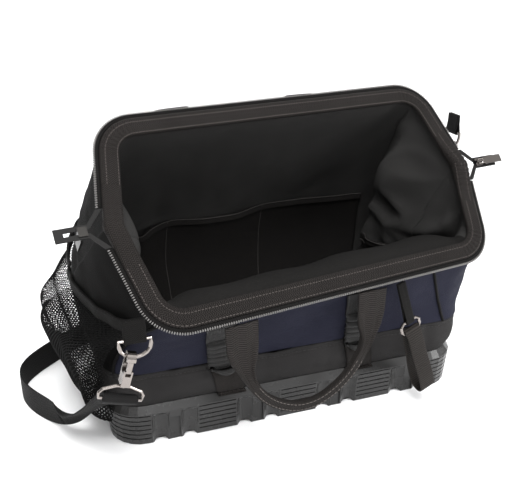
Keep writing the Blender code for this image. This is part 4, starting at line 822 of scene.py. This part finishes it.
def inner_pocket(name, wall, columns, z_low, z_top, lean, seams, node, mouth_wave=0.0):
    """Pocket sewn inside a wall, standing off between its seams, with a hem and two rows of stitches."""
    first, last = columns
    cols = np.arange(first, last + 1)
    lining = LIN[wall][:, cols]
    share = (cols - first) / (last - first)
    top = np.interp(lining[30, :, 0] if wall in ("front", "back") else lining[30, :, 1], *z_top)
    v = np.linspace(0, 1, 26)[:, None]
    inward = -WALL_OUT[wall]
    marks = np.array([0.0, *seams, 1.0])
    belly = ramp(np.min(np.abs(share[:, None] - marks[None]), 1), 0, 0.16)
    off = 0.0018 + lean * v**1.7 * (0.25 + 0.75 * belly[None]) + mouth_wave * np.sin(share * 17)[None] * v**3
    p = at_height(lining, z_low + (top - z_low)[None] * v) + inward * off[..., None]
    sheet = cloth(name, p, 0.0011, POCKET)
    edge = p[-1] + inward * 0.0006
    below = below_top(p, 0.0085) + inward * 0.0012
    pieces = [sheet, sweep(name + "_hem", (edge + below) / 2, inward, oval(0.0086, 0.0022, 14, 0.6), POCKET)]
    lines = [(f"_line{k}", line) for k, line in enumerate((edge + inward * 0.0006 + Z * 0.0002,
                                                           below + inward * 0.0008))]
    for k, m in enumerate(seams):
        lines.append((f"_seam{k}", p[1:, int(round(m * (last - first)))] + inward * 0.0010))
    for ending, line in lines:
        pieces.append(sweep(name + ending, line, inward, circle(0.0006, 6), HEM))
    settle(sheet, "bag_body", "lining_cloth", node)
    for piece in pieces[1:]:
        settle(piece, "bag_body", "lining_cloth")


BACK_POCKET_TOP = ((-0.17, -0.127, -0.117, -0.104, -0.091, -0.059, -0.007, 0.024, 0.073, 0.129, 0.18),
                   (0.150, 0.155, 0.163, 0.168, 0.171, 0.171, 0.172, 0.178, 0.184, 0.181, 0.178))
END_POCKET_TOP = ((-0.1, 0.1), (0.128, 0.134))
FRONT_POCKET_TOP = ((-0.2, 0.2), (0.121, 0.121))
inner_pocket("back_pocket", "back", (8, 88), 0.035, BACK_POCKET_TOP, 0.013, (0.42, 0.80), "inner_back_pocket")
inner_pocket("end_pocket", "right", (12, 56), 0.035, END_POCKET_TOP, 0.012, (0.5,), "inner_end_pocket", 0.003)
inner_pocket("front_pocket", "front", (10, 86), 0.050, FRONT_POCKET_TOP, 0.012, (0.5,), "inner_front_pocket")


# Mouth

TOOTH_PITCH, TOOTH_SIDES = 0.00235, 8
TOOTH_HALF_WIDTH, TOOTH_HALF_HEIGHT = 0.00135, 0.0013
# Rings of a tooth: how far along it from its middle, and how wide
TOOTH_RINGS = ((-0.00058, 0.66), (-0.00034, 1.0), (0.00034, 1.0), (0.00058, 0.66))


def rim(side):
    """Webbing sleeve round the frame's wire, gathered where it bends."""
    outline = at_shares(frame_outline(SLEEVE_CENTRE, SLEEVE_START), np.linspace(0, 1, 300))
    path = mouth(side, *outline.T)
    v = lengths_of(path)
    bend = np.linalg.norm(np.gradient(unit(np.gradient(outline, axis=0)), v, axis=0), axis=1)
    gather = 1 + 0.16 * bend / bend.max() * np.sin(v * 2 * math.pi / 0.0052)
    gather = gather + 0.05 * np.sin(v * 61) + 0.03 * np.sin(v * 173)
    section = np.stack([oval(SLEEVE_WIDTH, SLEEVE_THICKNESS * t, 24, 0.55) for t in gather])
    obj = sweep(WORD[side] + "_rim", path, MOUTH_UP, section, RIM)
    settle(obj, WORD[side] + "_frame", "webbing", WORD[side] + "_frame_sleeve")


def rim_end(side, sign, hand):
    """Gathered webbing from the sleeve down to the hinge."""
    r = np.linspace(-0.008, SLEEVE_START + 0.003, 110)
    path = mouth(side, sign * arm_at(r, SLEEVE_CENTRE), r, 0.0012 * (1 - ramp(r, 0.0, 0.03)))
    depth = 2.4 if hand == "right" else 0.5
    folds = 0.13 * np.abs(np.sin(lengths_of(path) * math.pi / 0.0056)) * (1 - ramp(r, 0.026, 0.040)) * depth
    thick = (1.0 + 0.75 * (1 - ramp(r, 0.004, 0.034))) * (1 + folds)
    section = np.stack([oval(SLEEVE_WIDTH * (0.72 + 0.28 * q), SLEEVE_THICKNESS * max(t * q, 0.30), 24, 0.6)
                        for q, t in zip(ramp(r, -0.010, -0.002), thick)])
    obj = sweep(f"{WORD[side]}_rim_end_{hand}", path, MOUTH_UP * sign, section, RIM)
    far = turned(0, side * math.cos(TILT), side * math.sin(TILT)) * SLEEVE_START
    blend_mouth(obj)


def zip_half(side):
    """A tape and its row of teeth, each tooth a small bar with narrower ends."""
    body = WORD[side] + "_frame"
    spine = at_shares(frame_outline(CHAIN_WIDTH / 2 + 0.0010, CHAIN_START), np.linspace(0, 1, 260))
    section = oval(CHAIN_WIDTH - 0.0014, 0.0015, 10, 0.6)
    tape = sweep(WORD[side] + "_zip_tape", mouth(side, *spine.T), MOUTH_UP, section, BLACK_WEB)
    settle(tape, body, "webbing", WORD[side] + "_zip_chain")
    outline = frame_outline(0.0016, CHAIN_START)
    count = int(lengths_of(outline)[-1] / TOOTH_PITCH)
    places = at_shares(outline, (np.arange(count) + 0.5) / count)
    across, up = circle(1.0, TOOTH_SIDES).T
    verts, faces = [], []
    for (a, r), (ta, tr) in zip(places, unit(np.gradient(places, axis=0))):
        rings = []
        for along, wide in TOOTH_RINGS:
            off = TOOTH_HALF_WIDTH * wide * across
            rise = TOOTH_HALF_HEIGHT * wide * up
            rings.append(mouth(side, a + ta * along - tr * off, r + tr * along + ta * off, rise))
        add_rings(verts, faces, rings)
    settle(build(WORD[side] + "_zip_teeth", verts, faces, COIL), body, "zip_coil")


for side in (FRONT, BACK):
    rim(side)
    for sign, hand in HANDS:
        rim_end(side, sign, hand)
    zip_half(side)


# Webbing strips and handles

PLEAT_COUNT, PLEAT_SPAN = 6, 0.056


def strip(side, sign, hand):
    """A strip over band and wall: a flat tab at its foot, and pleats above it that follow the cloth."""
    low = sign * STRIP_SPACING / 2
    lean = STRIP_LEAN if side == FRONT else 0.0
    profile = [((RIB_ZONE_TOP + BASE_HEIGHT) / 2, -SHOULDER_INSET / 2)]
    profile += [(z, band_outset(z)) for z in np.linspace(0.0463, 0.09, 10)]
    rows = SHELL[side][2:52:4, WALL_START:WALL_START + WALL_COLUMNS]
    total = len(profile) + len(rows)
    edges = []
    for e in np.linspace(-STRIP_WIDTH / 2, STRIP_WIDTH / 2, 13):
        x = [low + e + lean * i / total for i in range(total)]
        pts = [np.array([x[i], side * (HALF_DEPTH + out), z]) for i, (z, out) in enumerate(profile)]
        pts += [wall_point(row, x[len(profile) + j]) for j, row in enumerate(rows)]
        edges.append(curve(pts, 150))
    p = np.stack(edges if side == FRONT else edges[::-1], 1)
    n = normals_of(p)
    z = p[:, :, 2].mean(1)
    name, foot, up = f"{WORD[side]}_strip_{hand}", z < 0.0935, z > 0.084
    tab = cloth(name + "_tab", (p + n * 0.0028)[foot], 0.0020, HERRING)
    grid = p[up]
    d = lengths_of(grid[:, 6])
    turns = np.clip(d / (PLEAT_SPAN / PLEAT_COUNT), 0, PLEAT_COUNT)
    pleat = np.abs(np.sin(turns * math.pi)) ** 0.55 * (d < PLEAT_SPAN)
    across = np.linspace(-1, 1, 13)
    arch, middle = (1 - 0.35 * across**4)[None], (1 - across**2)[None]
    lip = 0.0075 * (1 - ramp(d, 0.0, 0.008))
    off = 0.0048 + (0.0048 * pleat)[:, None] * arch + lip[:, None] * middle
    drop = -Z * ((0.006 * (1 - ramp(d, 0.0, 0.006)))[:, None] * middle)[..., None]
    pleats = cloth(name + "_pleats", grid + n[up] * off[..., None] + drop, 0.0022, PLEAT)
    settle(tab, "bag_body", "webbing", f"{WORD[side]}_webbing_{hand}")
    blend_mouth(pleats)


def handle(side):
    """Webbing handle, wide at its legs and folded to a stitched grip."""
    half = HANDLE_SPACING / 2
    share = [(1.0, 0.0), (0.985, 0.27), (0.92, 0.51), (0.72, 0.74), (0.42, 0.90), (0.14, 0.97)]
    share = [(-a, b) for a, b in share] + share[::-1]
    root = mouth(side, HANDLE_SHIFT, HANDLE_REACH, -HANDLE_STAND)
    out, lean = turned(0, side, 0), HANDLE_LEAN[side]
    down = -Z * math.cos(lean) + out * math.sin(lean)
    normal = out * math.cos(lean) + Z * math.sin(lean)
    path = curve([root + BAR * (half * a) + down * (HANDLE_DROP * b) for a, b in share], 220)
    d = lengths_of(path)
    from_end = np.minimum(d, d[-1] - d)
    wide = np.interp(from_end, [0, 0.026, 0.038, 0.052, 0.066, 0.09], [1.0, 0.97, 0.84, 0.46, 0.32, 0.30])
    thick = np.interp(from_end, [0, 0.026, 0.040, 0.054, 0.07], [0.0022, 0.0024, 0.0046, 0.0074, 0.0078])
    ripple = ramp(from_end, 0.015, 0.04) * (1 - ramp(from_end, 0.055, 0.075))
    sections = []
    for w, t, q in zip(wide, thick, ripple):
        o = oval(WEBBING_WIDTH * w, t, 40, 0.42)
        o[:, 1] += 0.0011 * q * np.cos(o[:, 0] / (WEBBING_WIDTH * w) * math.pi * 5)
        sections.append(o)
    body = WORD[side] + "_handle"
    settle(sweep(body + "_webbing", path, normal, np.stack(sections), HERRING), body, "webbing", body)
    across = unit(np.cross(unit(np.gradient(path, axis=0)), normal))
    grip = from_end > 0.074
    for k, gap in enumerate((0.0030, -0.0030)):
        line = path[grip] + across[grip] * gap + normal * 0.0037
        settle(stitches(f"{body}_stitch{k}", line, PALE_THREAD, 0.0046, 0.0030), body, "webbing")


for side in (FRONT, BACK):
    for sign, hand in HANDS:
        strip(side, sign, hand)
for side in (FRONT, BACK):
    handle(side)


# Net pocket

NET_COLUMNS, NET_ROWS = 101, 67


def left_outside(z, share):
    """A point on the outside of the left end, by its height and its share of the way forward."""
    if z > BAND_TOP + 0.0005:
        column = np.array([between(share, COLUMNS["left"], row) for row in PLAIN_LEFT])
        return between(z, column[:, 2], column)
    grow = band_outset(z) if z > BASE_HEIGHT else 0.0
    return at_shares(wall_low(0.0, z, grow)["left"], [share])[0]


def net_grid():
    """Knots of the net: a bag that stands out at the left end, crumpled a little."""
    net = np.empty((NET_ROWS, NET_COLUMNS, 3))
    v = np.linspace(0, 1, NET_ROWS)
    for i in range(NET_COLUMNS):
        share = 0.03 + 0.94 * i / (NET_COLUMNS - 1)
        tilt = 1 - 2 * share
        top_z = 0.158 + 0.032 * max(0.0, tilt) ** 1.5
        bulge = max(0.0, math.cos(tilt * math.pi / 2)) ** 0.7
        turn = math.radians(45) * max(0.0, abs(tilt) - 0.7) / 0.3
        out = np.array([-math.cos(turn), math.copysign(math.sin(turn), tilt), 0])
        stands = ((0.0504, 0.0), (0.0306, 0.42), (0.063, 0.70), (0.0972, 0.91), (0.1296, 1.0), (top_z, 0.30))
        pts = [left_outside(z, share) + out * (0.003 + 0.044 * stand * bulge) for z, stand in stands]
        crumple = math.sin(i * 0.33 + 2 * math.sin(i * 0.14)) * 0.0010 * v**2
        crumple = crumple + math.sin(i * 0.23) * 0.003 * np.sin(math.pi * v)
        net[:, i] = curve(pts, NET_ROWS) + out * crumple[:, None]
    return net


def net_pocket():
    """Crossing strands, thicker towards the front, under a webbing binding."""
    net = net_grid()
    verts, faces = [], []
    for r in range(NET_ROWS - 1):
        for c in range(NET_COLUMNS - 1):
            ends = (net[r, c], net[r + 1, c + 1]) if (r + c) % 2 == 0 else (net[r + 1, c], net[r, c + 1])
            radius = 0.00040 + 0.00034 * float(ramp(c / (NET_COLUMNS - 1), 0.42, 0.66))
            add_bar(verts, faces, *ends, radius, 3)
    settle(build("net_pocket", verts, faces, NETTING), "bag_body", "netting", "mesh_pocket")
    lift = np.linspace(0.0004, 0.0125, 7)[:, None, None]
    roll = 0.0005 + 0.0010 * np.sin(math.pi * np.linspace(0, 1, 7))[:, None, None]
    binding = cloth("net_binding", net[-1][None] - X * roll + Z * lift, 0.0026, BLACK_WEB)
    settle(binding, "bag_body", "webbing", "mesh_pocket_binding")


net_pocket()


# Shoulder strap

# Middles of the bars of the strap's eyes, and the way that the front one's bar runs
FRONT_BAR, FRONT_BAR_WAY = np.array([-0.19928, -0.17773, 0.11193]), np.array([0.9563, 0.0, -0.29237])
BACK_BAR = np.array([0.23317, -0.00302, 0.21935])
STRAP_WRAP = EYE_WIRE_RADIUS + GAP * 2 + STRAP_THICKNESS / 2
WRAP_STEPS = 7
# The route's places beside the bag: out from its end in OUT_UNIT, and along its depth in halves of it
OUT_UNIT = 0.1
LEFT_FLOOR = ((-0.45, -0.491), (-0.59, -0.318), (-0.74, -0.136), (-0.85, 0.055), (-0.91, 0.300),
              (-0.81, 0.509), (-0.59, 0.691), (-0.31, 0.891), (-0.01, 1.145))
# Behind the bag: along its length in halves of it, and away from its back in BACK_UNIT
BACK_UNIT = 0.0355
BACK_FLOOR = ((-0.780, 0.93), (-0.439, 1.01), (0.0, 0.99), (0.439, 1.01), (0.780, 0.99))


def strap_route():
    """Places of the strap's middle, the way its face looks there, and the third of the strap each is in."""
    path, ups, mark = [], [], []

    def add(place, up, part):
        path.append(np.array(place, float))
        ups.append(unit(up))
        mark.append(part)

    def beside(end, out, depth, z):
        return (end * HALF_LENGTH + out * OUT_UNIT, depth * HALF_DEPTH, z)

    leave = square_to(np.array([0, 0.80, -0.60]), FRONT_BAR_WAY)
    face = unit(-np.cross(FRONT_BAR_WAY, leave))
    face = face if face[2] < 0 else -face
    for run in (0.024, 0.0096):
        add(FRONT_BAR + face * STRAP_WRAP + leave * run, face, 0)
    for angle in np.linspace(0, math.pi, WRAP_STEPS):
        out = face * math.cos(angle) - leave * math.sin(angle)
        add(FRONT_BAR + out * STRAP_WRAP, out, 0)
    add(FRONT_BAR - face * (STRAP_WRAP + GAP) + leave * 0.0216, -face, 0)
    add(beside(-1, -0.180, -1.073, 0.0640), (-0.20, 0.62, 0.74), 0)
    add(beside(-1, -0.330, -0.727, 0.0340), (-0.30, 0.86, 0.42), 0)
    floor_z = STRAP_WIDTH / 2 + GAP
    flat = [np.array(beside(-1, out, depth, floor_z)) for out, depth in LEFT_FLOOR]
    flat += [np.array([a * HALF_LENGTH, HALF_DEPTH + b * BACK_UNIT, floor_z]) for a, b in BACK_FLOOR]
    for i, place in enumerate(flat):
        run = flat[min(i + 1, len(flat) - 1)] - flat[max(i - 1, 0)]
        add(place, (run[1], -run[0], 0), 1)
    add(beside(1, 0.110, 1.182, 0.0260), (-0.45, -0.85, 0.10), 1)
    add(beside(1, 0.410, 0.873, 0.0560), (-0.85, -0.50, 0.10), 1)
    add((BACK_BAR[0] + 0.013, 0.509 * HALF_DEPTH, 0.115), (-0.97, -0.20, 0.10), 2)
    rise = square_to(np.array([-0.04, -0.20, 0.97]), Y)
    outer = unit(np.cross(Y, rise))
    outer = outer if outer[0] > 0 else -outer
    add(BACK_BAR + outer * STRAP_WRAP - rise * 0.0336, -outer, 2)
    for angle in np.linspace(0, math.pi, WRAP_STEPS):
        out = outer * math.cos(angle) + rise * math.sin(angle)
        add(BACK_BAR + out * STRAP_WRAP, -out, 2)
    for run in (0.012, 0.024):
        add(BACK_BAR - outer * STRAP_WRAP - rise * run, outer, 2)
    return np.array(path), np.array(ups), mark


def fine_route(path, ups):
    """The route at close steps, with the place of each given point in it."""
    d = lengths_of(path)
    slope = np.gradient(path, d, axis=0)
    out, out_up, where = [], [], []
    for i in range(len(path) - 1):
        h = d[i + 1] - d[i]
        where.append(len(out))
        for t in np.linspace(0, 1, max(4, int(h / 0.005)), endpoint=False):
            f = hermite(t)
            out.append(f[0] * path[i] + f[1] * h * slope[i] + f[2] * path[i + 1] + f[3] * h * slope[i + 1])
            out_up.append(ups[i] * (1 - t) + ups[i + 1] * t)
    where.append(len(out))
    out.append(path[-1])
    out_up.append(ups[-1])
    return np.array(out), unit(np.array(out_up)), where


def smoothed(fine, fine_up, first, last):
    """The route evened out between the two eyes, easing in and out."""
    reach = np.arange(-14, 15)
    weight = np.exp(-(reach / 7.0) ** 2)[:, None]
    path, ups = fine.copy(), fine_up.copy()
    for i in range(first, last - 4):
        near = np.clip(i + reach, first, last)
        ease = min(1.0, (i - first) / 10, (last - i) / 14)
        for line, given in ((path, fine), (ups, fine_up)):
            line[i] = given[i] * (1 - ease) + (given[near] * weight).sum(0) / weight.sum() * ease
        ups[i] = unit(ups[i])
    return path, ups


def shoulder_strap():
    """The strap in three lengths: its middle stays on the ground and moves with the bag."""
    route, route_up, mark = strap_route()
    fine, fine_up, where = fine_route(route, route_up)
    first_cut, second_cut = where[mark.index(1)], where[mark.index(2)]
    fine, fine_up = smoothed(fine, fine_up, where[2 + WRAP_STEPS], second_cut)
    section = oval(STRAP_WIDTH, 0.0019, 16, 0.3)
    runs = (("front", 0, first_cut), ("middle", first_cut, second_cut), ("back", second_cut, len(fine) - 1))
    front, middle, back = (sweep("strap_" + word, fine[a:b + 1], fine_up[a:b + 1], section, STRAP_WEB)
                           for word, a, b in runs)
    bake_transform(front)
    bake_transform(back)
    settle(middle, "bag_body", "webbing", "shoulder_strap")


shoulder_strap()


# Tabs and tool loop

TOOL_DROP, TOOL_LOOP_HALF = 0.050, 0.009


def tab_round_bar(name, place, x, y, z, width, rise, body, node):
    """Webbing folded over a ring's bar, both layers running up together."""
    wrap = RING_WIRE_RADIUS + GAP + 0.0007
    leg = [(0.0011, rise), (0.0014, rise * 0.5), (wrap, 0.001)]
    turn = [(wrap * math.cos(a), -wrap * math.sin(a)) for a in np.linspace(0, math.pi, 9)[1:-1]]
    profile = leg + turn + [(-a, b) for a, b in leg[::-1]]
    path = np.array([place + y * a + z * b for a, b in profile])
    face = unit(np.cross(x, unit(np.gradient(path, axis=0))))
    settle(sweep(name, path, face, oval(width, 0.0014, 16, 0.35), BLACK_WEB), body, "webbing", node)


def tool_loop():
    """The tool loop's tab and its closed band of webbing through the ring."""
    turn = Matrix.Rotation(YAW, 4, "Z") @ Matrix.Rotation(math.radians(-18), 4, "Y")
    root = Matrix.Translation(Vector(mouth(FRONT, 0.070, HANDLE_REACH, -HANDLE_STAND)))
    tool = root @ turn @ Matrix.Translation((0, 0, -TOOL_DROP))
    x, y, z = (np.array(tool.to_3x3().col[k]) for k in range(3))
    place = np.array(tool.translation)
    tab_round_bar("tool_tab", place, x, y, z, 0.010, TOOL_DROP, "front_frame", "tool_loop_tab")
    swing = np.array((tool @ Matrix.Translation((0, 0, -0.013))).translation)
    wrap = RING_WIRE_RADIUS + GAP * 2 + WEBBING_THICKNESS / 2
    half, turns = TOOL_LOOP_HALF, [math.pi * k / 6 for k in range(7)]
    loop = [(wrap * math.cos(a), wrap * math.sin(a)) for a in turns] + [(-0.0063, -0.0344), (-half, -0.0688)]
    loop += [(-half * math.cos(a), -0.0731 - half * math.sin(a)) for a in turns[1:-1]]
    loop += [(half, -0.0688), (0.0063, -0.0344)]
    points = np.array([swing + y * a + z * b for a, b in loop + loop[:1]])
    path = curve(np.concatenate([points[-4:-1], points, points[1:4]]), 260)
    first = int(np.argmin(np.linalg.norm(path[:120] - points[0], axis=1)))
    last = 140 + int(np.argmin(np.linalg.norm(path[140:] - points[0], axis=1)))
    obj = sweep("tool_webbing", path[first:last], x, oval(0.0020, 0.019, 16, 0.35), RIBBED, closed=True)
    settle(obj, "tool_loop", "webbing", "tool_loop_webbing")


ring_front = mouth(FRONT, -0.200, 0.074, -HANDLE_STAND) + (-0.0052, -0.013, -0.026)
ring_back = mouth(BACK, 0.200, 0.074, -HANDLE_STAND) + (0.031, 0, -0.026)
tab_round_bar("front_tab", ring_front, X, Y, Z, 0.020, 0.020, "front_frame", "front_ring_tab")
tab_round_bar("back_tab", ring_back, Y, -X, Z, 0.020, 0.020, "back_frame", "back_ring_tab")
tool_loop()

# Small radii along the hard pieces' edges
for width, nodes in (
        (0.0007, "base_tray"), (0.0006, "front_hook_body back_hook_body"),
        (0.0004, "left_slider right_slider left_pull right_pull left_zip_end right_zip_end"),
        (0.0003, "front_hook_gate back_hook_gate")):
    for node in nodes.split():
        bevel = PARTS[node].modifiers.new("edges", "BEVEL")
        bevel.width = width
        bevel.segments = 2
        bevel.limit_method = "ANGLE"
        bevel.angle_limit = math.radians(32)
        bevel.harden_normals = True


# Stage

AZIMUTH, ELEVATION, DISTANCE = math.radians(18.6), math.radians(23.0), 0.823
LOOK_AT = Vector((-0.008, 0.0, 0.165))


def map_range(tree, source, span):
    """Node that takes From Min and From Max of a value to To Min and To Max."""
    node = tree.nodes.new("ShaderNodeMapRange")
    for socket, value in zip(("From Min", "From Max", "To Min", "To Max"), span):
        node.inputs[socket].default_value = value
    tree.links.new(source, node.inputs["Value"])
    return node.outputs[0]


def studio():
    """White surroundings, brightest overhead towards the camera and white at the horizon."""
    world = bpy.data.worlds.new("studio")
    bpy.context.scene.world = world
    world.use_nodes = True
    tree = world.node_tree
    sky = tree.nodes["Background"]
    sky.inputs[0].default_value = (1, 1, 1, 1)
    way = tree.nodes.new("ShaderNodeTexCoord").outputs["Generated"]
    toward = tree.nodes.new("ShaderNodeVectorMath")
    toward.operation = "DOT_PRODUCT"
    toward.inputs[1].default_value = (0.10, -0.25, 0.963)
    tree.links.new(way, toward.inputs[0])
    height = tree.nodes.new("ShaderNodeSeparateXYZ")
    tree.links.new(way, height.inputs[0])
    both = tree.nodes.new("ShaderNodeMath")
    both.operation = "MAXIMUM"
    tree.links.new(map_range(tree, toward.outputs["Value"], (0.12, 1.0, 0.07, 1.95)), both.inputs[0])
    tree.links.new(map_range(tree, height.outputs[2], (0.10, 0.20, 1.0, 0.0)), both.inputs[1])
    tree.links.new(both.outputs[0], sky.inputs[1])


def aimed(name, data, place, way):
    """A light or camera at a place, looking along a way."""
    obj = bpy.data.objects.new(name, data)
    obj.location = place
    obj.rotation_euler = way.to_track_quat("-Z", "Y").to_euler()
    bpy.context.scene.collection.objects.link(obj)
    return obj


def area(name, place, target, size, power):
    data = bpy.data.lights.new(name, "AREA")
    data.size, data.energy = size, power
    aimed(name, data, place, Vector(target) - Vector(place))


def camera():
    level = math.cos(ELEVATION)
    forward = Vector((math.sin(AZIMUTH) * level, math.cos(AZIMUTH) * level, -math.sin(ELEVATION)))
    data = bpy.data.cameras.new("camera")
    data.lens, data.sensor_width = 49.22, 36.0
    data.clip_start = 0.01
    return aimed("camera", data, LOOK_AT - forward * DISTANCE, forward)


floor_corners = [(-25, -25, 0), (25, -25, 0), (25, 25, 0), (-25, 25, 0)]
build("floor", floor_corners, [(0, 1, 2, 3)], Net("floor_white", (0.95, 0.95, 0.955), 0.9).material)
studio()
area("key", (-0.25, -0.95, 1.50), (0, 0, 0.15), 0.65, 30)
area("side", (1.5, -1.2, 0.7), (0, 0, 0.1), 0.7, 22)
area("back_light", (0.3, 1.2, 1.4), (0, 0, 0.15), 0.8, 8)
bpy.context.scene.camera = camera()
bpy.context.scene.view_settings.view_transform = "Standard"
